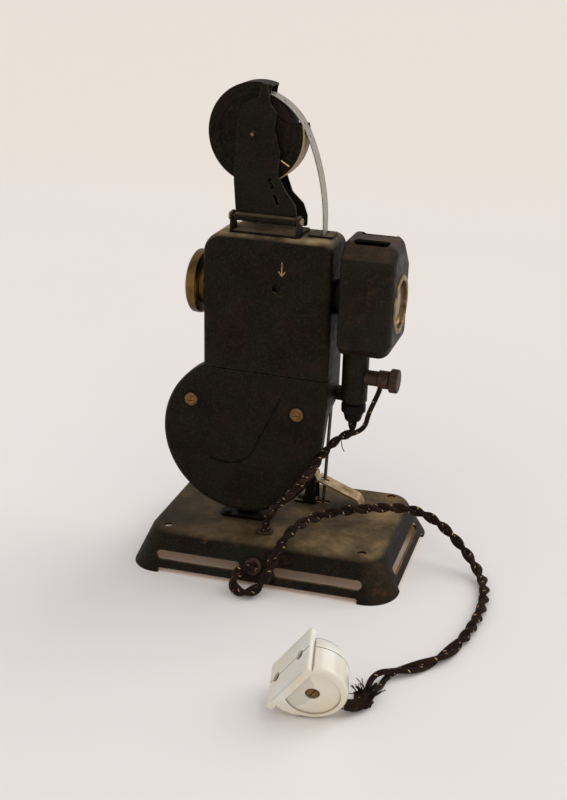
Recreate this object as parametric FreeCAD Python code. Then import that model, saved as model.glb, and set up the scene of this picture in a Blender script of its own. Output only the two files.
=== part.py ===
import FreeCAD, Part
import math
import os

V = FreeCAD.Vector

# Home cine projector for 9.5 mm film, cranked by hand, in pressed steel.
# Row frame: +Z up, lens towards -X, lamp towards +X, crank on +Y, millimetres.
# Origin: centre of the base's underside.

# Sheet metal and fits
sheet = 1.2
thin_sheet = 0.8
run_gap = 0.05
free_gap = 0.3

# Base pan
base_length = 158.4
base_width = 104.7
base_height = 22.8
base_inset = 10.8
base_corner = 17.0
base_top_corner = 12.0
base_edge_round = 4.5
foot_length = 20.0
foot_depth = 2.6
fixing_span_x = 116.0
fixing_span_y = 72.0
fixing_hole_r = 2.4
skirt_slot_height = 5.0
skirt_slot_z = 9.2
front_slot_from = 10.0
front_slot_length = 51.0
end_slot_length = 58.0

# Grommet of the mains cord and eyelet of the lamp lead
mains_cord_d = 6.0
grommet_x = -2.0
grommet_z = 10.6
grommet_wall = 1.2
grommet_flange = 2.1
grommet_flange_thickness = 1.5
lamp_lead_d = 5.0
lead_drop = 6.5
lead_grip = 4.0
eyelet_x = -1.4
eyelet_y = -28.0
eyelet_flange = 2.0
eyelet_height = 1.2

# Resistor under the base's top
resistor_r = 5.5
resistor_length = 92.0
resistor_y = -14.0
resistor_z = 12.0
resistor_bore_r = 3.0
clip_width = 7.0
clip_span = 78.0

# Head hinge on the base
hinge_x = -18.5
hinge_z = 30.0
hinge_pin_r = 1.8
hinge_eye_r = 4.6
hinge_y = -6.0
hinge_ear_gap = 5.4
hinge_ear_thickness = 1.5
hinge_plate_length = 30.0
hinge_plate_width = 20.0
hinge_plate_thickness = 1.5
hinge_lug_width = 25.0
rivet_head_r = 2.2
rivet_head_height = 1.0
rest_tilt = 2.2

# Head casing
casing_left = -40.5
casing_right = 31.0
casing_top = 195.2
casing_front = -25.0
casing_depth = 27.0
casing_top_left_r = 12.0
casing_top_right_r = 6.0
casing_edge_round = 3.0
casing_shoulder_z = 102.7

# Drum: round cover in front, film chamber behind it
drum_x = -18.3
drum_z = 78.5
drum_r = 46.6
drum_depth = 9.0
chamber_r = 38.0
cover_screw_span = 62.0
cover_screw_rise = 19.4
cover_screw_r = 1.6
cup_r = 4.4
cup_height = 1.5
pillar_r = 2.8
cover_gap = 0.5
crease_width = 1.8
crease_depth = 0.7
crease_line = [
    (23.2, 26.6), (17.0, 12.7), (11.4, 1.2), (8.5, -5.8), (5.0, -11.1), (0.5, -14.3), (-6.7, -16.2),
    (-13.1, -15.6), (-17.2, -14.9),
]

# Optical axis and gate
axis_y = -8.0
axis_z = 162.4
film_x = 22.0
film_width = 9.5
film_thickness = 0.2
gate_thickness = 2.0
gate_height = 48.0
aperture_width = 8.2
aperture_height = 6.2
pressure_height = 30.0
pressure_thickness = 1.2
pressure_travel = 1.5

# Lens
lens_tube_r = 6.6
lens_bore_r = 5.6
lens_tail = 20.0
bush_wall = 1.2
collar_r = 10.6
collar_length = 2.2
lens_gap = 1.8
lens_ring_r = 17.6
lens_ring_width = 6.8
lens_skirt_wall = 1.1
lens_skirt_length = 2.3
lens_face_step = 2.2

# Gear train from the crank to the shutter
gear_module = 0.7
crank_teeth = 88
idler_teeth = 81
pinion_teeth = 11
gear_width = 3.6
train_angle = 77.9
crank_shaft_r = 3.0
idler_stud_r = 2.5
shutter_shaft_r = 1.5
shutter_r = 11.2
shutter_width = 10.2
oil_hole_r = 2.0

# Claw that pulls the film down
film_pitch = 7.54
claw_thickness = 1.0
claw_pin_r = 1.1
claw_finger_drop = 14.5
rail_length = 16.0

# Crank
crank_throw = 28.0
crank_arm_r = 4.6
crank_arm_thickness = 2.4
crank_arm_gap = 6.0
handle_r = 5.2
handle_length = 24.0
chamber_sleeve_r = 5.2

# Lamp house
lamp_left = 36.0
lamp_right = 64.6
lamp_centre_y = -7.5
lamp_width = 44.0
lamp_bottom = 136.5
lamp_top = 197.4
lamp_top_chamfer = 8.0
lamp_back_chamfer = 15.0
lamp_bottom_chamfer = 5.0
lamp_corner_r = 1.5
lamp_end_round = 7.0
window_r = 14.2
window_ring_width = 1.6
window_ring_height = 0.8
mirror_sag = 2.6
neck_r = 9.4
light_hole_r = 7.0
condenser_r = 8.0
lamp_start_round = 3.0
vent_length = 18.8
vent_width = 6.6
vent_drop = 1.2
vent_corner_r = 2.0
bulb_r = 4.8

# Lamp socket and its knob
socket_x = 42.3
socket_r = 7.3
socket_neck_r = 5.3
socket_shoulder_z = 104.4
cap_r = 6.8
cap_height = 11.0
cap_top_z = 102.8
terminal_z = 118.7
terminal_bush_r = 4.2
terminal_bush_length = 5.6
terminal_shank_r = 5.0
terminal_shank_length = 6.6
terminal_disc_r = 6.6
terminal_disc_width = 4.6
clamp_y = -2.0
clamp_z = 105.0
clamp_r = 4.2
clamp_length = 3.6

# Arm bracket on the casing's top
bracket_left = -26.6
bracket_right = 11.2
bracket_front = -21.0
bracket_depth = 21.0
arm_pin_y = -17.5
arm_pin_z = 203.2
arm_pin_r = 1.3
ear_r = 3.2
knuckle_r = 2.3

# Arm and film cartridge
cheek_gap = 16.0
cheek_thickness = 1.0
cartridge_x = -15.3
cartridge_z = 246.0
cartridge_r = 26.0
cartridge_width = 11.4
cartridge_wall = 0.7
roll_r = 20.8
roll_bore_r = 4.0
mouth_low_turn = 3.0
mouth_high_turn = 67.0
scoop_r = 14.0
scoop_reach = 29.0
scoop_turn = 42.2
spacer_r = 1.5
spacer_turns = (-106, -76)
arm_slot_length = 6.0
arm_slot_width = 2.0
arm_slot_lean = 22.0
arm_slots = [(9.7, -24.1), (12.7, -32.6)]

# Film above the gate: a straight, a long bend, a short bend and a wrap round the roll
film_low_end = 134.0
film_long_bend_r = 113.0
film_short_bend_r = 34.0
film_exit_turn = 70.0
film_wrap_turn = 30.0

# Film slot plate, film door
slot_plate_length = 13.0
slot_plate_width = 12.6
slot_plate_thickness = 1.0
door_left = 3.5
door_width = 25.0
door_bottom = 124.5
door_height = 66.0
door_lap = 1.4
door_pin_r = 0.7
door_knuckle_r = 1.6

# Tilt rod and its lock lever, in the row frame except the stud
tilt_rod_r = 1.0
tilt_rod_y = 18.0
stud_x = 23.0
stud_z = 96.6
stud_r = 2.0
rod_eye_r = 3.6
rod_low_x = 21.2
rod_low_z = 37.3
rod_end_z = 9.0
rod_swing = 3.5
lever_width = 10.0
lever_thickness = 1.2
lever_pivot_x = 14.4
lever_length = 30.0
lever_slope = 22.5
lever_tip = 5.0
lever_pin_r = 1.0
lever_foot_reach = 11.0
lever_foot_lap = 2.0

# Porcelain plug on the mains cord
plug_length = 34.0
plug_depth = 27.1
plug_plate = 3.0
plug_drum_r = 16.6
plug_drum_back = 11.8
plug_drum_shift = 4.4
plug_crown_r = 12.0
plug_rim_r = 2.5
plug_shoulder_shift = 2.0
plug_shoulder_back = 7.3
plug_split = 0.53
plug_seam = 0.4
plug_slot_span = 19.5
plug_slot_shift = -0.7
plug_hole_r = 2.5
plug_hole_depth = 12.0
plug_contact_wall = 0.5
plug_contact_sink = 1.4
plug_dish_r = 13.2
plug_dish_depth = 0.8
plug_recess_r = 3.5
plug_recess_depth = 2.8
plug_screw_r = 1.5
plug_screw_end = 5.0
plug_notch = 2.2
plug_face = V(53.8, -160.3, 19.25)
plug_long = V(0.610, -0.037, 0.791)
plug_across = V(-0.205, 0.957, 0.203)

# Worked out from the sizes above
casing_back = casing_front + casing_depth
plate_back = casing_front + drum_depth
plate_front = plate_back - sheet
seam_z = drum_z + math.sqrt(drum_r**2 - (drum_x - casing_left)**2)
skirt_lean = math.degrees(math.atan2(base_inset, base_height))
gear_front = (casing_front + sheet + plate_front - gear_width) / 2


def pitch_r(teeth):
    return gear_module * teeth / 2


train_dir = V(math.cos(math.radians(train_angle)), 0, math.sin(math.radians(train_angle)))
crank_at = V(drum_x, 0, drum_z)
idler_at = crank_at + train_dir * (pitch_r(crank_teeth) + pitch_r(idler_teeth))
shutter_at = idler_at + train_dir * (pitch_r(idler_teeth) + pitch_r(pinion_teeth))


def box(x0, x1, y0, y1, z0, z1):
    return Part.makeBox(x1 - x0, y1 - y0, z1 - z0, V(x0, y0, z0))


def rod(start, end, radius):
    axis = end - start
    return Part.makeCylinder(radius, axis.Length, start, axis)


def rod_x(x0, x1, y, z, radius):
    return rod(V(x0, y, z), V(x1, y, z), radius)


def rod_y(y0, y1, x, z, radius):
    return rod(V(x, y0, z), V(x, y1, z), radius)


def rod_z(z0, z1, x, y, radius):
    return rod(V(x, y, z0), V(x, y, z1), radius)


def on_xz(y):
    return lambda p: V(p.x, y, p.y)


def on_yz(x):
    return lambda p: V(x, p.x, p.y)


def on_xy(z):
    return lambda p: V(p.x, p.y, z)


# Closed wire through corners (a, b, radius), laid on a plane by lift
def corner_wire(corners, lift):
    points = [V(a, b, 0) for a, b, _ in corners]
    edges = []
    last = None
    for i, (a, b, radius) in enumerate(corners):
        here = points[i]
        back = (points[i - 1] - here).normalize()
        ahead = (points[(i + 1) % len(points)] - here).normalize()
        half = back.getAngle(ahead) / 2
        cut = radius / math.tan(half)
        start = here + back * cut
        end = here + ahead * cut
        if last is not None:
            edges.append(Part.LineSegment(lift(last), lift(start)).toShape())
        else:
            first = start
        if radius > 0:
            middle = here + (back + ahead).normalize() * (radius / math.sin(half) - radius)
            edges.append(Part.Arc(lift(start), lift(middle), lift(end)).toShape())
        last = end
    edges.append(Part.LineSegment(lift(last), lift(first)).toShape())
    return Part.Wire(edges)


def plate_y(corners, y0, y1):
    return Part.Face(corner_wire(corners, on_xz(y0))).extrude(V(0, y1 - y0, 0))


def plate_x(corners, x0, x1):
    return Part.Face(corner_wire(corners, on_yz(x0))).extrude(V(x1 - x0, 0, 0))


def plate_z(corners, z0, z1):
    return Part.Face(corner_wire(corners, on_xy(z0))).extrude(V(0, 0, z1 - z0))


def rectangle(a, b, length, width, radius):
    return [
        (a - length / 2, b - width / 2, radius),
        (a + length / 2, b - width / 2, radius),
        (a + length / 2, b + width / 2, radius),
        (a - length / 2, b + width / 2, radius),
    ]


# Solid turned from corners (station, radius, corner radius) about an axis
def turned(corners, origin, axis, side):
    wire = corner_wire(corners, lambda p: origin + axis * p.x + side * p.y)
    return Part.Face(wire).revolve(origin, axis, 360)


def turned_x(corners, y, z):
    return turned(corners, V(0, y, z), V(1, 0, 0), V(0, 1, 0))


def turned_y(corners, x, z):
    return turned(corners, V(x, 0, z), V(0, 1, 0), V(1, 0, 0))


def turned_z(corners, x, y):
    return turned(corners, V(x, y, 0), V(0, 0, 1), V(1, 0, 0))


def edges_where(shape, test):
    return [edge for edge in shape.Edges if test(edge)]


def lies_at(edge, axis, value):
    box_of = edge.BoundBox
    low = {"x": box_of.XMin, "y": box_of.YMin, "z": box_of.ZMin}[axis]
    high = {"x": box_of.XMax, "y": box_of.YMax, "z": box_of.ZMax}[axis]
    return abs(low - value) < 0.01 and abs(high - value) < 0.01


def fuse_all(shapes):
    whole = shapes[0].multiFuse(shapes[1:])
    return whole.removeSplitter()


def polar(centre, radius, degrees):
    turn = math.radians(degrees)
    return V(centre.x + radius * math.cos(turn), 0, centre.z + radius * math.sin(turn))


# Base pan: pressed skirt with corner feet, air slots and fixing holes
def pan_block(inset, rise, top):
    low = rectangle(0, 0, base_length - 2 * inset, base_width - 2 * inset, base_corner - inset)
    lean = inset + base_inset * top / base_height
    high = rectangle(0, 0, base_length - 2 * lean, base_width - 2 * lean, base_top_corner)
    wires = [corner_wire(low, on_xy(rise)), corner_wire(high, on_xy(top))]
    block = Part.makeLoft(wires, True, True)
    radius = base_edge_round - inset
    return block.makeFillet(radius, edges_where(block, lambda e: lies_at(e, "z", top)))


def base_pan():
    wall = sheet / math.cos(math.radians(skirt_lean))
    pan = pan_block(0, 0, base_height).cut(pan_block(wall, 0, base_height - sheet))
    half_length = base_length / 2
    half_width = base_width / 2
    gap_length = base_length - 2 * foot_length
    gap_width = base_width - 2 * foot_length
    cuts = [plate_y(rectangle(0, 0, gap_length, 2 * foot_depth, sheet), -half_width, half_width)]
    cuts.append(plate_x(rectangle(0, 0, gap_width, 2 * foot_depth, sheet), -half_length, half_length))
    slot_r = skirt_slot_height / 2.01
    slot_x = front_slot_from + front_slot_length / 2
    for x in (-slot_x, slot_x):
        slot = rectangle(x, skirt_slot_z, front_slot_length, skirt_slot_height, slot_r)
        cuts.append(plate_y(slot, -half_width, half_width))
    slot = rectangle(0, skirt_slot_z, end_slot_length, skirt_slot_height, slot_r)
    cuts.append(plate_x(slot, -half_length, half_length))
    for x, y in fixing_points():
        cuts.append(rod_z(0, base_height + 1, x, y, fixing_hole_r))
    for x, y, _ in rivet_points():
        cuts.append(rod_z(resistor_z, base_height + 1, x, y, rivet_shank_r))
    cuts.append(grommet_turned([(-4, 0, 0), (4, 0, 0), (4, grommet_neck_r, 0), (-4, grommet_neck_r, 0)]))
    cuts.append(rod_z(resistor_z, base_height + 1, eyelet_x, eyelet_y, eyelet_neck_r))
    slot_width = 2 * tilt_rod_r + 1.2
    slot = rectangle(rod_at(base_height).x, tilt_rod_y, 2 * (tilt_rod_r + rod_swing), slot_width, tilt_rod_r + 0.5)
    cuts.append(plate_z(slot, resistor_z, base_height + 1))
    return pan.cut(cuts)


def fixing_points():
    return [(sx * fixing_span_x / 2, sy * fixing_span_y / 2) for sx in (-1, 1) for sy in (-1, 1)]


grommet_bore_r = mains_cord_d / 2
grommet_neck_r = grommet_bore_r + grommet_wall
grommet_out = V(0, -math.cos(math.radians(skirt_lean)), math.sin(math.radians(skirt_lean)))
grommet_at = V(grommet_x, -(base_width / 2 - base_inset * grommet_z / base_height), grommet_z)
eyelet_bore_r = lamp_lead_d / 2
eyelet_neck_r = eyelet_bore_r + thin_sheet


def grommet_turned(corners):
    return turned(corners, grommet_at, grommet_out, V(1, 0, 0))


# Grommet: a flange each side of the skirt
def mains_grommet():
    outer_r = grommet_bore_r + grommet_flange
    back = -sheet - grommet_flange_thickness
    return grommet_turned([
        (back, grommet_bore_r, 0),
        (grommet_flange_thickness, grommet_bore_r, 0),
        (grommet_flange_thickness, outer_r, 0.7),
        (0, outer_r, 0),
        (0, grommet_neck_r, 0),
        (-sheet, grommet_neck_r, 0),
        (-sheet, outer_r, 0),
        (back, outer_r, 0.7),
    ])


def lead_eyelet():
    flange_r = eyelet_bore_r + eyelet_flange
    return turned_z([
        (base_height - sheet - 0.8, eyelet_bore_r, 0),
        (base_height + eyelet_height, eyelet_bore_r, 0.3),
        (base_height + eyelet_height, flange_r, 0.5),
        (base_height, flange_r, 0),
        (base_height, eyelet_neck_r, 0),
        (base_height - sheet, eyelet_neck_r, 0),
        (base_height - sheet, flange_r - 0.8, 0),
        (base_height - sheet - 0.8, flange_r - 0.8, 0),
    ], eyelet_x, eyelet_y)


# Resistor: a ceramic tube held under the base's top by two straps
def resistor():
    half = resistor_length / 2
    body = rod_x(-half, half, resistor_y, resistor_z, resistor_r)
    groove = rod_x(6 - half, half - 6, resistor_y, resistor_z, resistor_r + 1)
    core = rod_x(6 - half, half - 6, resistor_y, resistor_z, resistor_r - 0.6)
    bore = rod_x(-half, half, resistor_y, resistor_z, resistor_bore_r)
    ends = [box(x - 4, x + 4, resistor_y - 9, resistor_y + 9, 0, 30) for x in (-clip_span / 2, clip_span / 2)]
    return body.cut(groove.cut(core).cut(ends)).cut(bore)


def resistor_clips():
    clips = []
    ceiling = base_height - sheet
    for x in (-clip_span / 2, clip_span / 2):
        low = x - clip_width / 2
        high = x + clip_width / 2
        outer_r = resistor_r + thin_sheet
        ring = rod_x(low, high, resistor_y, resistor_z, outer_r)
        web = box(low, high, resistor_y - thin_sheet, resistor_y + thin_sheet, resistor_z, ceiling)
        foot = box(low, high, resistor_y - 5, resistor_y + 5, ceiling - thin_sheet, ceiling)
        clip = ring.fuse([web, foot]).removeSplitter()
        clips.append(clip.cut(rod_x(low, high, resistor_y, resistor_z, resistor_r)))
    return Part.makeCompound(clips)


# Hinge plate from a foot up to an eye round the pin
def hinge_cheek(y0, y1, foot_z, width):
    eye = rod_y(y0, y1, hinge_x, hinge_z, hinge_eye_r)
    half = width / 2
    side = [
        (hinge_x - half, foot_z, 0),
        (hinge_x - hinge_eye_r, hinge_z, 0),
        (hinge_x + hinge_eye_r, hinge_z, 0),
        (hinge_x + half, foot_z, 0),
    ]
    return eye.fuse(plate_y(side, y0, y1)).removeSplitter()


ear_inner = hinge_ear_gap / 2
ear_outer = ear_inner + hinge_ear_thickness
lug_inner = ear_outer + free_gap
lug_outer = lug_inner + hinge_ear_thickness


def tilt_bracket():
    top = base_height + hinge_plate_thickness
    foot = rectangle(hinge_x, hinge_y, hinge_plate_length, hinge_plate_width, 3)
    pieces = [plate_z(foot, base_height, top)]
    for side in (-1, 1):
        near = hinge_y + side * ear_inner
        far = hinge_y + side * ear_outer
        pieces.append(hinge_cheek(min(near, far), max(near, far), base_height, 3 * hinge_eye_r))
    bracket = fuse_all(pieces)
    bracket = bracket.cut(rod_y(hinge_y - 9, hinge_y + 9, hinge_x, hinge_z, hinge_pin_r))
    return bracket.cut([rod_z(0, top + 1, x, y, rivet_shank_r) for x, y, _ in rivet_points()])


# Rivets through the base's top, each with the thickness that it holds
rivet_shank_r = rivet_head_r / 2


def rivet_points():
    reach_x = hinge_plate_length / 2 - 4
    reach_y = hinge_plate_width / 2 - 3
    points = [(hinge_x + sx * reach_x, hinge_y + sy * reach_y, hinge_plate_thickness)
              for sx in (-1, 1) for sy in (-1, 1)]
    points.append((lever_pivot.x - lever_foot_reach + 3, tilt_rod_y, sheet))
    return points


def base_rivets():
    low = base_height - sheet
    rivets = []
    for x, y, held in rivet_points():
        top = base_height + held
        rivets.append(turned_z([
            (low - rivet_head_height, 0, 0),
            (top + rivet_head_height, 0, 0),
            (top + rivet_head_height, rivet_head_r, 0.8),
            (top, rivet_head_r, 0),
            (top, rivet_shank_r, 0),
            (low, rivet_shank_r, 0),
            (low, rivet_head_r, 0),
            (low - rivet_head_height, rivet_head_r, 0.8),
        ], x, y))
    return Part.makeCompound(rivets)


def tilt_pin():
    half = lug_outer + 0.4
    head_r = hinge_pin_r + 1.2
    return turned_y([
        (hinge_y - half - 1.2, 0, 0),
        (hinge_y + half + 1.2, 0, 0),
        (hinge_y + half + 1.2, head_r, 0.6),
        (hinge_y + half, head_r, 0),
        (hinge_y + half, hinge_pin_r, 0),
        (hinge_y - half, hinge_pin_r, 0),
        (hinge_y - half, head_r, 0),
        (hinge_y - half - 1.2, head_r, 0.6),
    ], hinge_x, hinge_z)


# Lugs welded under the film chamber, outside the bracket's ears
def tilt_lugs():
    lugs = []
    drum = rod_y(casing_front - 1, casing_back + 1, drum_x, drum_z, chamber_r)
    for side in (-1, 1):
        near = hinge_y + side * lug_inner
        far = hinge_y + side * lug_outer
        top = drum_z - math.sqrt(chamber_r**2 - (hinge_lug_width / 2 + abs(hinge_x - drum_x))**2)
        lug = hinge_cheek(min(near, far), max(near, far), top, hinge_lug_width).cut(drum)
        lugs.append(lug.cut(rod_y(hinge_y - 9, hinge_y + 9, hinge_x, hinge_z, hinge_pin_r + run_gap)))
    return Part.makeCompound(lugs)


# Outline of the upper box, seen from the front
def box_corners(inset, low):
    left = casing_left + inset
    right = casing_right - inset
    top = casing_top - inset
    return [
        (left, low, 0),
        (right, low, 0),
        (right, top, casing_top_right_r - inset),
        (left, top, casing_top_left_r - inset),
    ]


# Outline of a drum whose right side runs straight up to the casing's right wall
def drum_face(radius, inset, y):
    reach = math.hypot(casing_right - drum_x, casing_shoulder_z - drum_z)
    rise = math.atan2(casing_shoulder_z - drum_z, casing_right - drum_x)
    turn = math.acos(radius / reach) - rise
    r = radius - inset
    right = casing_right - inset
    shoulder = drum_z + (math.cos(turn) * (right - drum_x) - r) / math.sin(turn)
    top = V(drum_x, y, drum_z + r)
    left = V(drum_x - r, y, drum_z)
    touch = V(drum_x + r * math.cos(turn), y, drum_z - r * math.sin(turn))
    roof = max(drum_z + r, seam_z + sheet)
    edges = [
        Part.Arc(top, left, touch).toShape(),
        Part.LineSegment(touch, V(right, y, shoulder)).toShape(),
        Part.LineSegment(V(right, y, shoulder), V(right, y, roof)).toShape(),
        Part.LineSegment(V(right, y, roof), V(drum_x, y, roof)).toShape(),
    ]
    if roof > top.z + 0.001:
        edges.append(Part.LineSegment(V(drum_x, y, roof), top).toShape())
    return Part.Face(Part.Wire(edges))


def drum_block(radius, inset, y0, y1):
    return drum_face(radius, inset, y0).extrude(V(0, y1 - y0, 0))


def box_block(inset, y0, y1, low):
    return plate_y(box_corners(inset, low), y0, y1)


def round_front(block, front, radius):
    return block.makeFillet(radius, edges_where(block, lambda e: lies_at(e, "y", front)))


far_reach = 500


def above(z):
    return box(-far_reach, far_reach, -far_reach, far_reach, z, z + far_reach)


def below(z):
    return box(-far_reach, far_reach, -far_reach, far_reach, z - far_reach, z)


# Casing: an upper box over a round film chamber, open to the mechanism in front
def casing_solid(inset):
    front = casing_front + inset
    back = casing_back - inset
    upper = round_front(box_block(inset, front, back, drum_z), front, casing_edge_round - inset)
    upper = upper.cut(below(seam_z))
    middle = box_block(inset, plate_back, back, drum_z).cut(above(seam_z + 1))
    chamber = drum_block(chamber_r, inset, plate_back, back).cut(above(seam_z + 1))
    return upper.fuse([middle.cut(below(drum_z + chamber_r * 0.6)), chamber])


def body_shell():
    inner = casing_solid(sheet).fuse(mouth())
    shell = casing_solid(0).cut(inner)
    shell = shell.cut([
        rod_x(casing_left - 5, casing_left + 5, axis_y, axis_z, bush_outer_r),
        rod_x(casing_right - 5, casing_right + 5, axis_y, axis_z, light_hole_r),
        rod_y(casing_front - 5, casing_front + 5, shutter_at.x, shutter_at.z, oil_hole_r),
        rod_y(casing_back - 5, casing_back + 5, drum_x, drum_z, crank_bush_r),
        rod_y(casing_back - 5, casing_back + 5, shutter_at.x, shutter_at.z, shutter_bush_r),
        rod_y(casing_back - 5, casing_back + 5, stud_x, stud_z, stud_r),
        rod_x(casing_right - 5, casing_right + 5, clamp_y, clamp_z, clamp_screw_r),
        film_slot(casing_top - 5, casing_top + 5),
        plate_y(door_corners(-door_lap, 1), casing_back - 5, casing_back + 5),
    ])
    return shell


# Space behind the mechanism plate that opens the chamber to the front
def mouth():
    chamber = drum_block(chamber_r, sheet, plate_back - 1, plate_back).cut(above(seam_z))
    upper = box_block(sheet, plate_back - 1, plate_back, drum_z + chamber_r * 0.7)
    return chamber.fuse(upper)


def film_slot(z0, z1):
    half = film_width / 2 + 0.6
    return box(film_x - 0.9, film_x + 0.9, axis_y - half, axis_y + half, z0, z1)


def door_corners(grow, radius):
    middle_x = door_left + door_width / 2
    middle_z = door_bottom + door_height / 2
    return rectangle(middle_x, middle_z, door_width + 2 * grow, door_height + 2 * grow, radius)


bush_outer_r = lens_tube_r + run_gap + bush_wall
crank_bush_r = crank_shaft_r + run_gap + bush_wall
shutter_bush_r = shutter_shaft_r + run_gap + bush_wall
clamp_screw_r = 1.5


# Cover of the mechanism: a shallow round dish
def drum_cover():
    outer = round_front(drum_block(drum_r, 0, casing_front, plate_back), casing_front, casing_edge_round)
    front = casing_front + sheet
    inner = drum_block(drum_r, sheet, front, plate_back + 1)
    inner = round_front(inner, front, casing_edge_round - sheet)
    cover = outer.cut(inner).cut(above(seam_z - cover_gap))
    holes = [rod_y(casing_front - 5, casing_front + 5, p.x, p.z, cover_screw_r) for p in screw_points()]
    return cover.cut(holes + crease())


# Crease pressed into the dish's face, a line with round corners
def crease():
    back = casing_front + crease_depth
    points = [V(drum_x + a, 0, drum_z + b) for a, b in crease_line]
    cuts = [rod_y(casing_front - 1, back, p.x, p.z, crease_width / 2) for p in points]
    for start, end in zip(points, points[1:]):
        side = (end - start).cross(V(0, 1, 0)).normalize() * (crease_width / 2)
        strip = [start + side, end + side, end - side, start - side]
        cuts.append(plate_y([(p.x, p.z, 0) for p in strip], casing_front - 1, back))
    return cuts


def screw_points():
    mid_x = drum_x + 2
    return [V(mid_x + s * cover_screw_span / 2, 0, drum_z + cover_screw_rise) for s in (-1, 1)]


# Cover screws: domed heads in cup washers, screwed into the pillars
def cover_screws():
    screws = []
    for p in screw_points():
        cup = turned_y([
            (casing_front - cup_height, cover_screw_r + 1.1, 0),
            (casing_front, cover_screw_r, 0),
            (casing_front, cup_r, 0.4),
            (casing_front - cup_height, cover_screw_r + 1.6, 0),
        ], p.x, p.z)
        screw = turned_y([
            (casing_front - cup_height - 0.7, 0, 0),
            (casing_front + sheet + 4, 0, 0),
            (casing_front + sheet + 4, cover_screw_r, 0),
            (casing_front, cover_screw_r, 0),
            (casing_front - cup_height, cover_screw_r + 1.1, 0),
            (casing_front - cup_height - 0.7, cover_screw_r + 0.7, 0.6),
        ], p.x, p.z)
        slot = box(p.x - 4, p.x + 4, casing_front - 5, casing_front - cup_height, p.z - 0.35, p.z + 0.35)
        screws += [cup, screw.cut(slot)]
    return Part.makeCompound(screws)


# Plate that carries the gear train
def mechanism_plate():
    low = drum_block(drum_r, sheet, plate_front, plate_back).cut(above(seam_z))
    high = box_block(sheet, plate_front, plate_back, drum_z).cut(below(seam_z))
    plate = low.fuse(high).removeSplitter()
    return plate.cut([
        rod_y(plate_front - 1, plate_back + 1, drum_x, drum_z, crank_bush_r),
        rod_y(plate_front - 1, plate_back + 1, shutter_at.x, shutter_at.z, shutter_bush_r),
    ])


# Studs on the mechanism plate: idler stud, cover pillars and claw rails
def plate_studs():
    idler = rod_y(gear_front - 1, plate_front, idler_at.x, idler_at.z, idler_stud_r)
    head = rod_y(gear_front - 1 - run_gap * 4, gear_front - 0.3, idler_at.x, idler_at.z, idler_stud_r + 1.4)
    studs = [idler.fuse(head)]
    for p in screw_points():
        pillar = rod_y(casing_front + sheet, plate_front, p.x, p.z, pillar_r)
        studs.append(pillar.cut(rod_y(casing_front, casing_front + sheet + 4, p.x, p.z, cover_screw_r)))
    for side in (-1, 1):
        inner = shutter_at.x + side * (yoke_half_width + yoke_rim + run_gap)
        outer = inner + side * 1.6
        low = shutter_at.z - rail_length / 2
        studs.append(box(min(inner, outer), max(inner, outer), plate_back, claw_back, low, low + rail_length))
    return Part.makeCompound(studs)


# Bushes of the crank and shutter shafts, and the sleeve inside the film chamber
def flanged_bush(bore_r, outer_r, y0, y1, flange_y0, flange_y1):
    tube = rod_y(y0, y1, 0, 0, outer_r).fuse(rod_y(flange_y0, flange_y1, 0, 0, outer_r + 1.2))
    return tube.cut(rod_y(y0 - 1, y1 + 1, 0, 0, bore_r)).removeSplitter()


def shaft_bushes():
    inner_back = casing_back - sheet
    crank_bore = crank_shaft_r + run_gap
    shutter_bore = shutter_shaft_r + run_gap
    face = plate_front - 0.8
    shutter_face = inner_back - 1.4
    crank_back = flanged_bush(crank_bore, crank_bush_r, inner_back, casing_back + 3, casing_back, casing_back + 1)
    crank_front = flanged_bush(crank_bore, crank_bush_r, face, plate_back, face, plate_front)
    sleeve = rod_y(plate_back, inner_back, 0, 0, chamber_sleeve_r)
    sleeve = sleeve.cut(rod_y(-far_reach, far_reach, 0, 0, crank_bore))
    shutter_back = flanged_bush(shutter_bore, shutter_bush_r, shutter_face, casing_back, shutter_face, inner_back)
    shutter_front = flanged_bush(shutter_bore, shutter_bush_r, face, plate_back, face, plate_front)
    for bush in (crank_back, crank_front, sleeve):
        bush.translate(crank_at)
    for bush in (shutter_back, shutter_front):
        bush.translate(shutter_at)
    return Part.makeCompound([crank_back, crank_front, sleeve, shutter_back, shutter_front])


# Spur gear with stub teeth, a thin web and a hub
def gear(teeth, centre, phase, bore_r, y0):
    step = 2 * math.pi / teeth
    pitch = pitch_r(teeth)
    tip_r = pitch + 0.8 * gear_module
    root_r = pitch - 1.1 * gear_module
    tip_half = 0.42 * gear_module / tip_r
    root_half = 1.02 * gear_module / root_r
    corners = []
    for k in range(teeth):
        mid = phase + k * step
        tooth = ((root_r, -root_half), (tip_r, -tip_half), (tip_r, tip_half), (root_r, root_half))
        for radius, turn in tooth:
            corners.append((radius * math.cos(mid + turn), radius * math.sin(mid + turn), 0))
    wheel = plate_y(corners, y0, y0 + gear_width)
    if root_r > 4 * bore_r:
        ring = rod_y(y0 - 1, y0 + 1, 0, 0, root_r - 2.4).cut(rod_y(y0 - 1, y0 + 1, 0, 0, bore_r + 3))
        back = ring.copy()
        back.translate(V(0, gear_width, 0))
        wheel = wheel.cut([ring, back])
    if bore_r > 0:
        wheel = wheel.cut(rod_y(y0 - 1, y0 + gear_width + 1, 0, 0, bore_r))
    wheel.translate(centre)
    return wheel


# Tooth phases that mesh along the line of centres
train_turn = math.radians(train_angle)
crank_phase = train_turn
idler_phase = train_turn + math.pi + math.pi / idler_teeth
idler_tooth_ahead = (train_turn - idler_phase) * idler_teeth / (2 * math.pi)
pinion_phase = train_turn + math.pi + (0.5 - idler_tooth_ahead % 1) * 2 * math.pi / pinion_teeth


def crank_gear():
    return gear(crank_teeth, crank_at, crank_phase, crank_shaft_r, gear_front)


def idler_gear():
    return gear(idler_teeth, idler_at, idler_phase, idler_stud_r + run_gap, gear_front)


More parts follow.
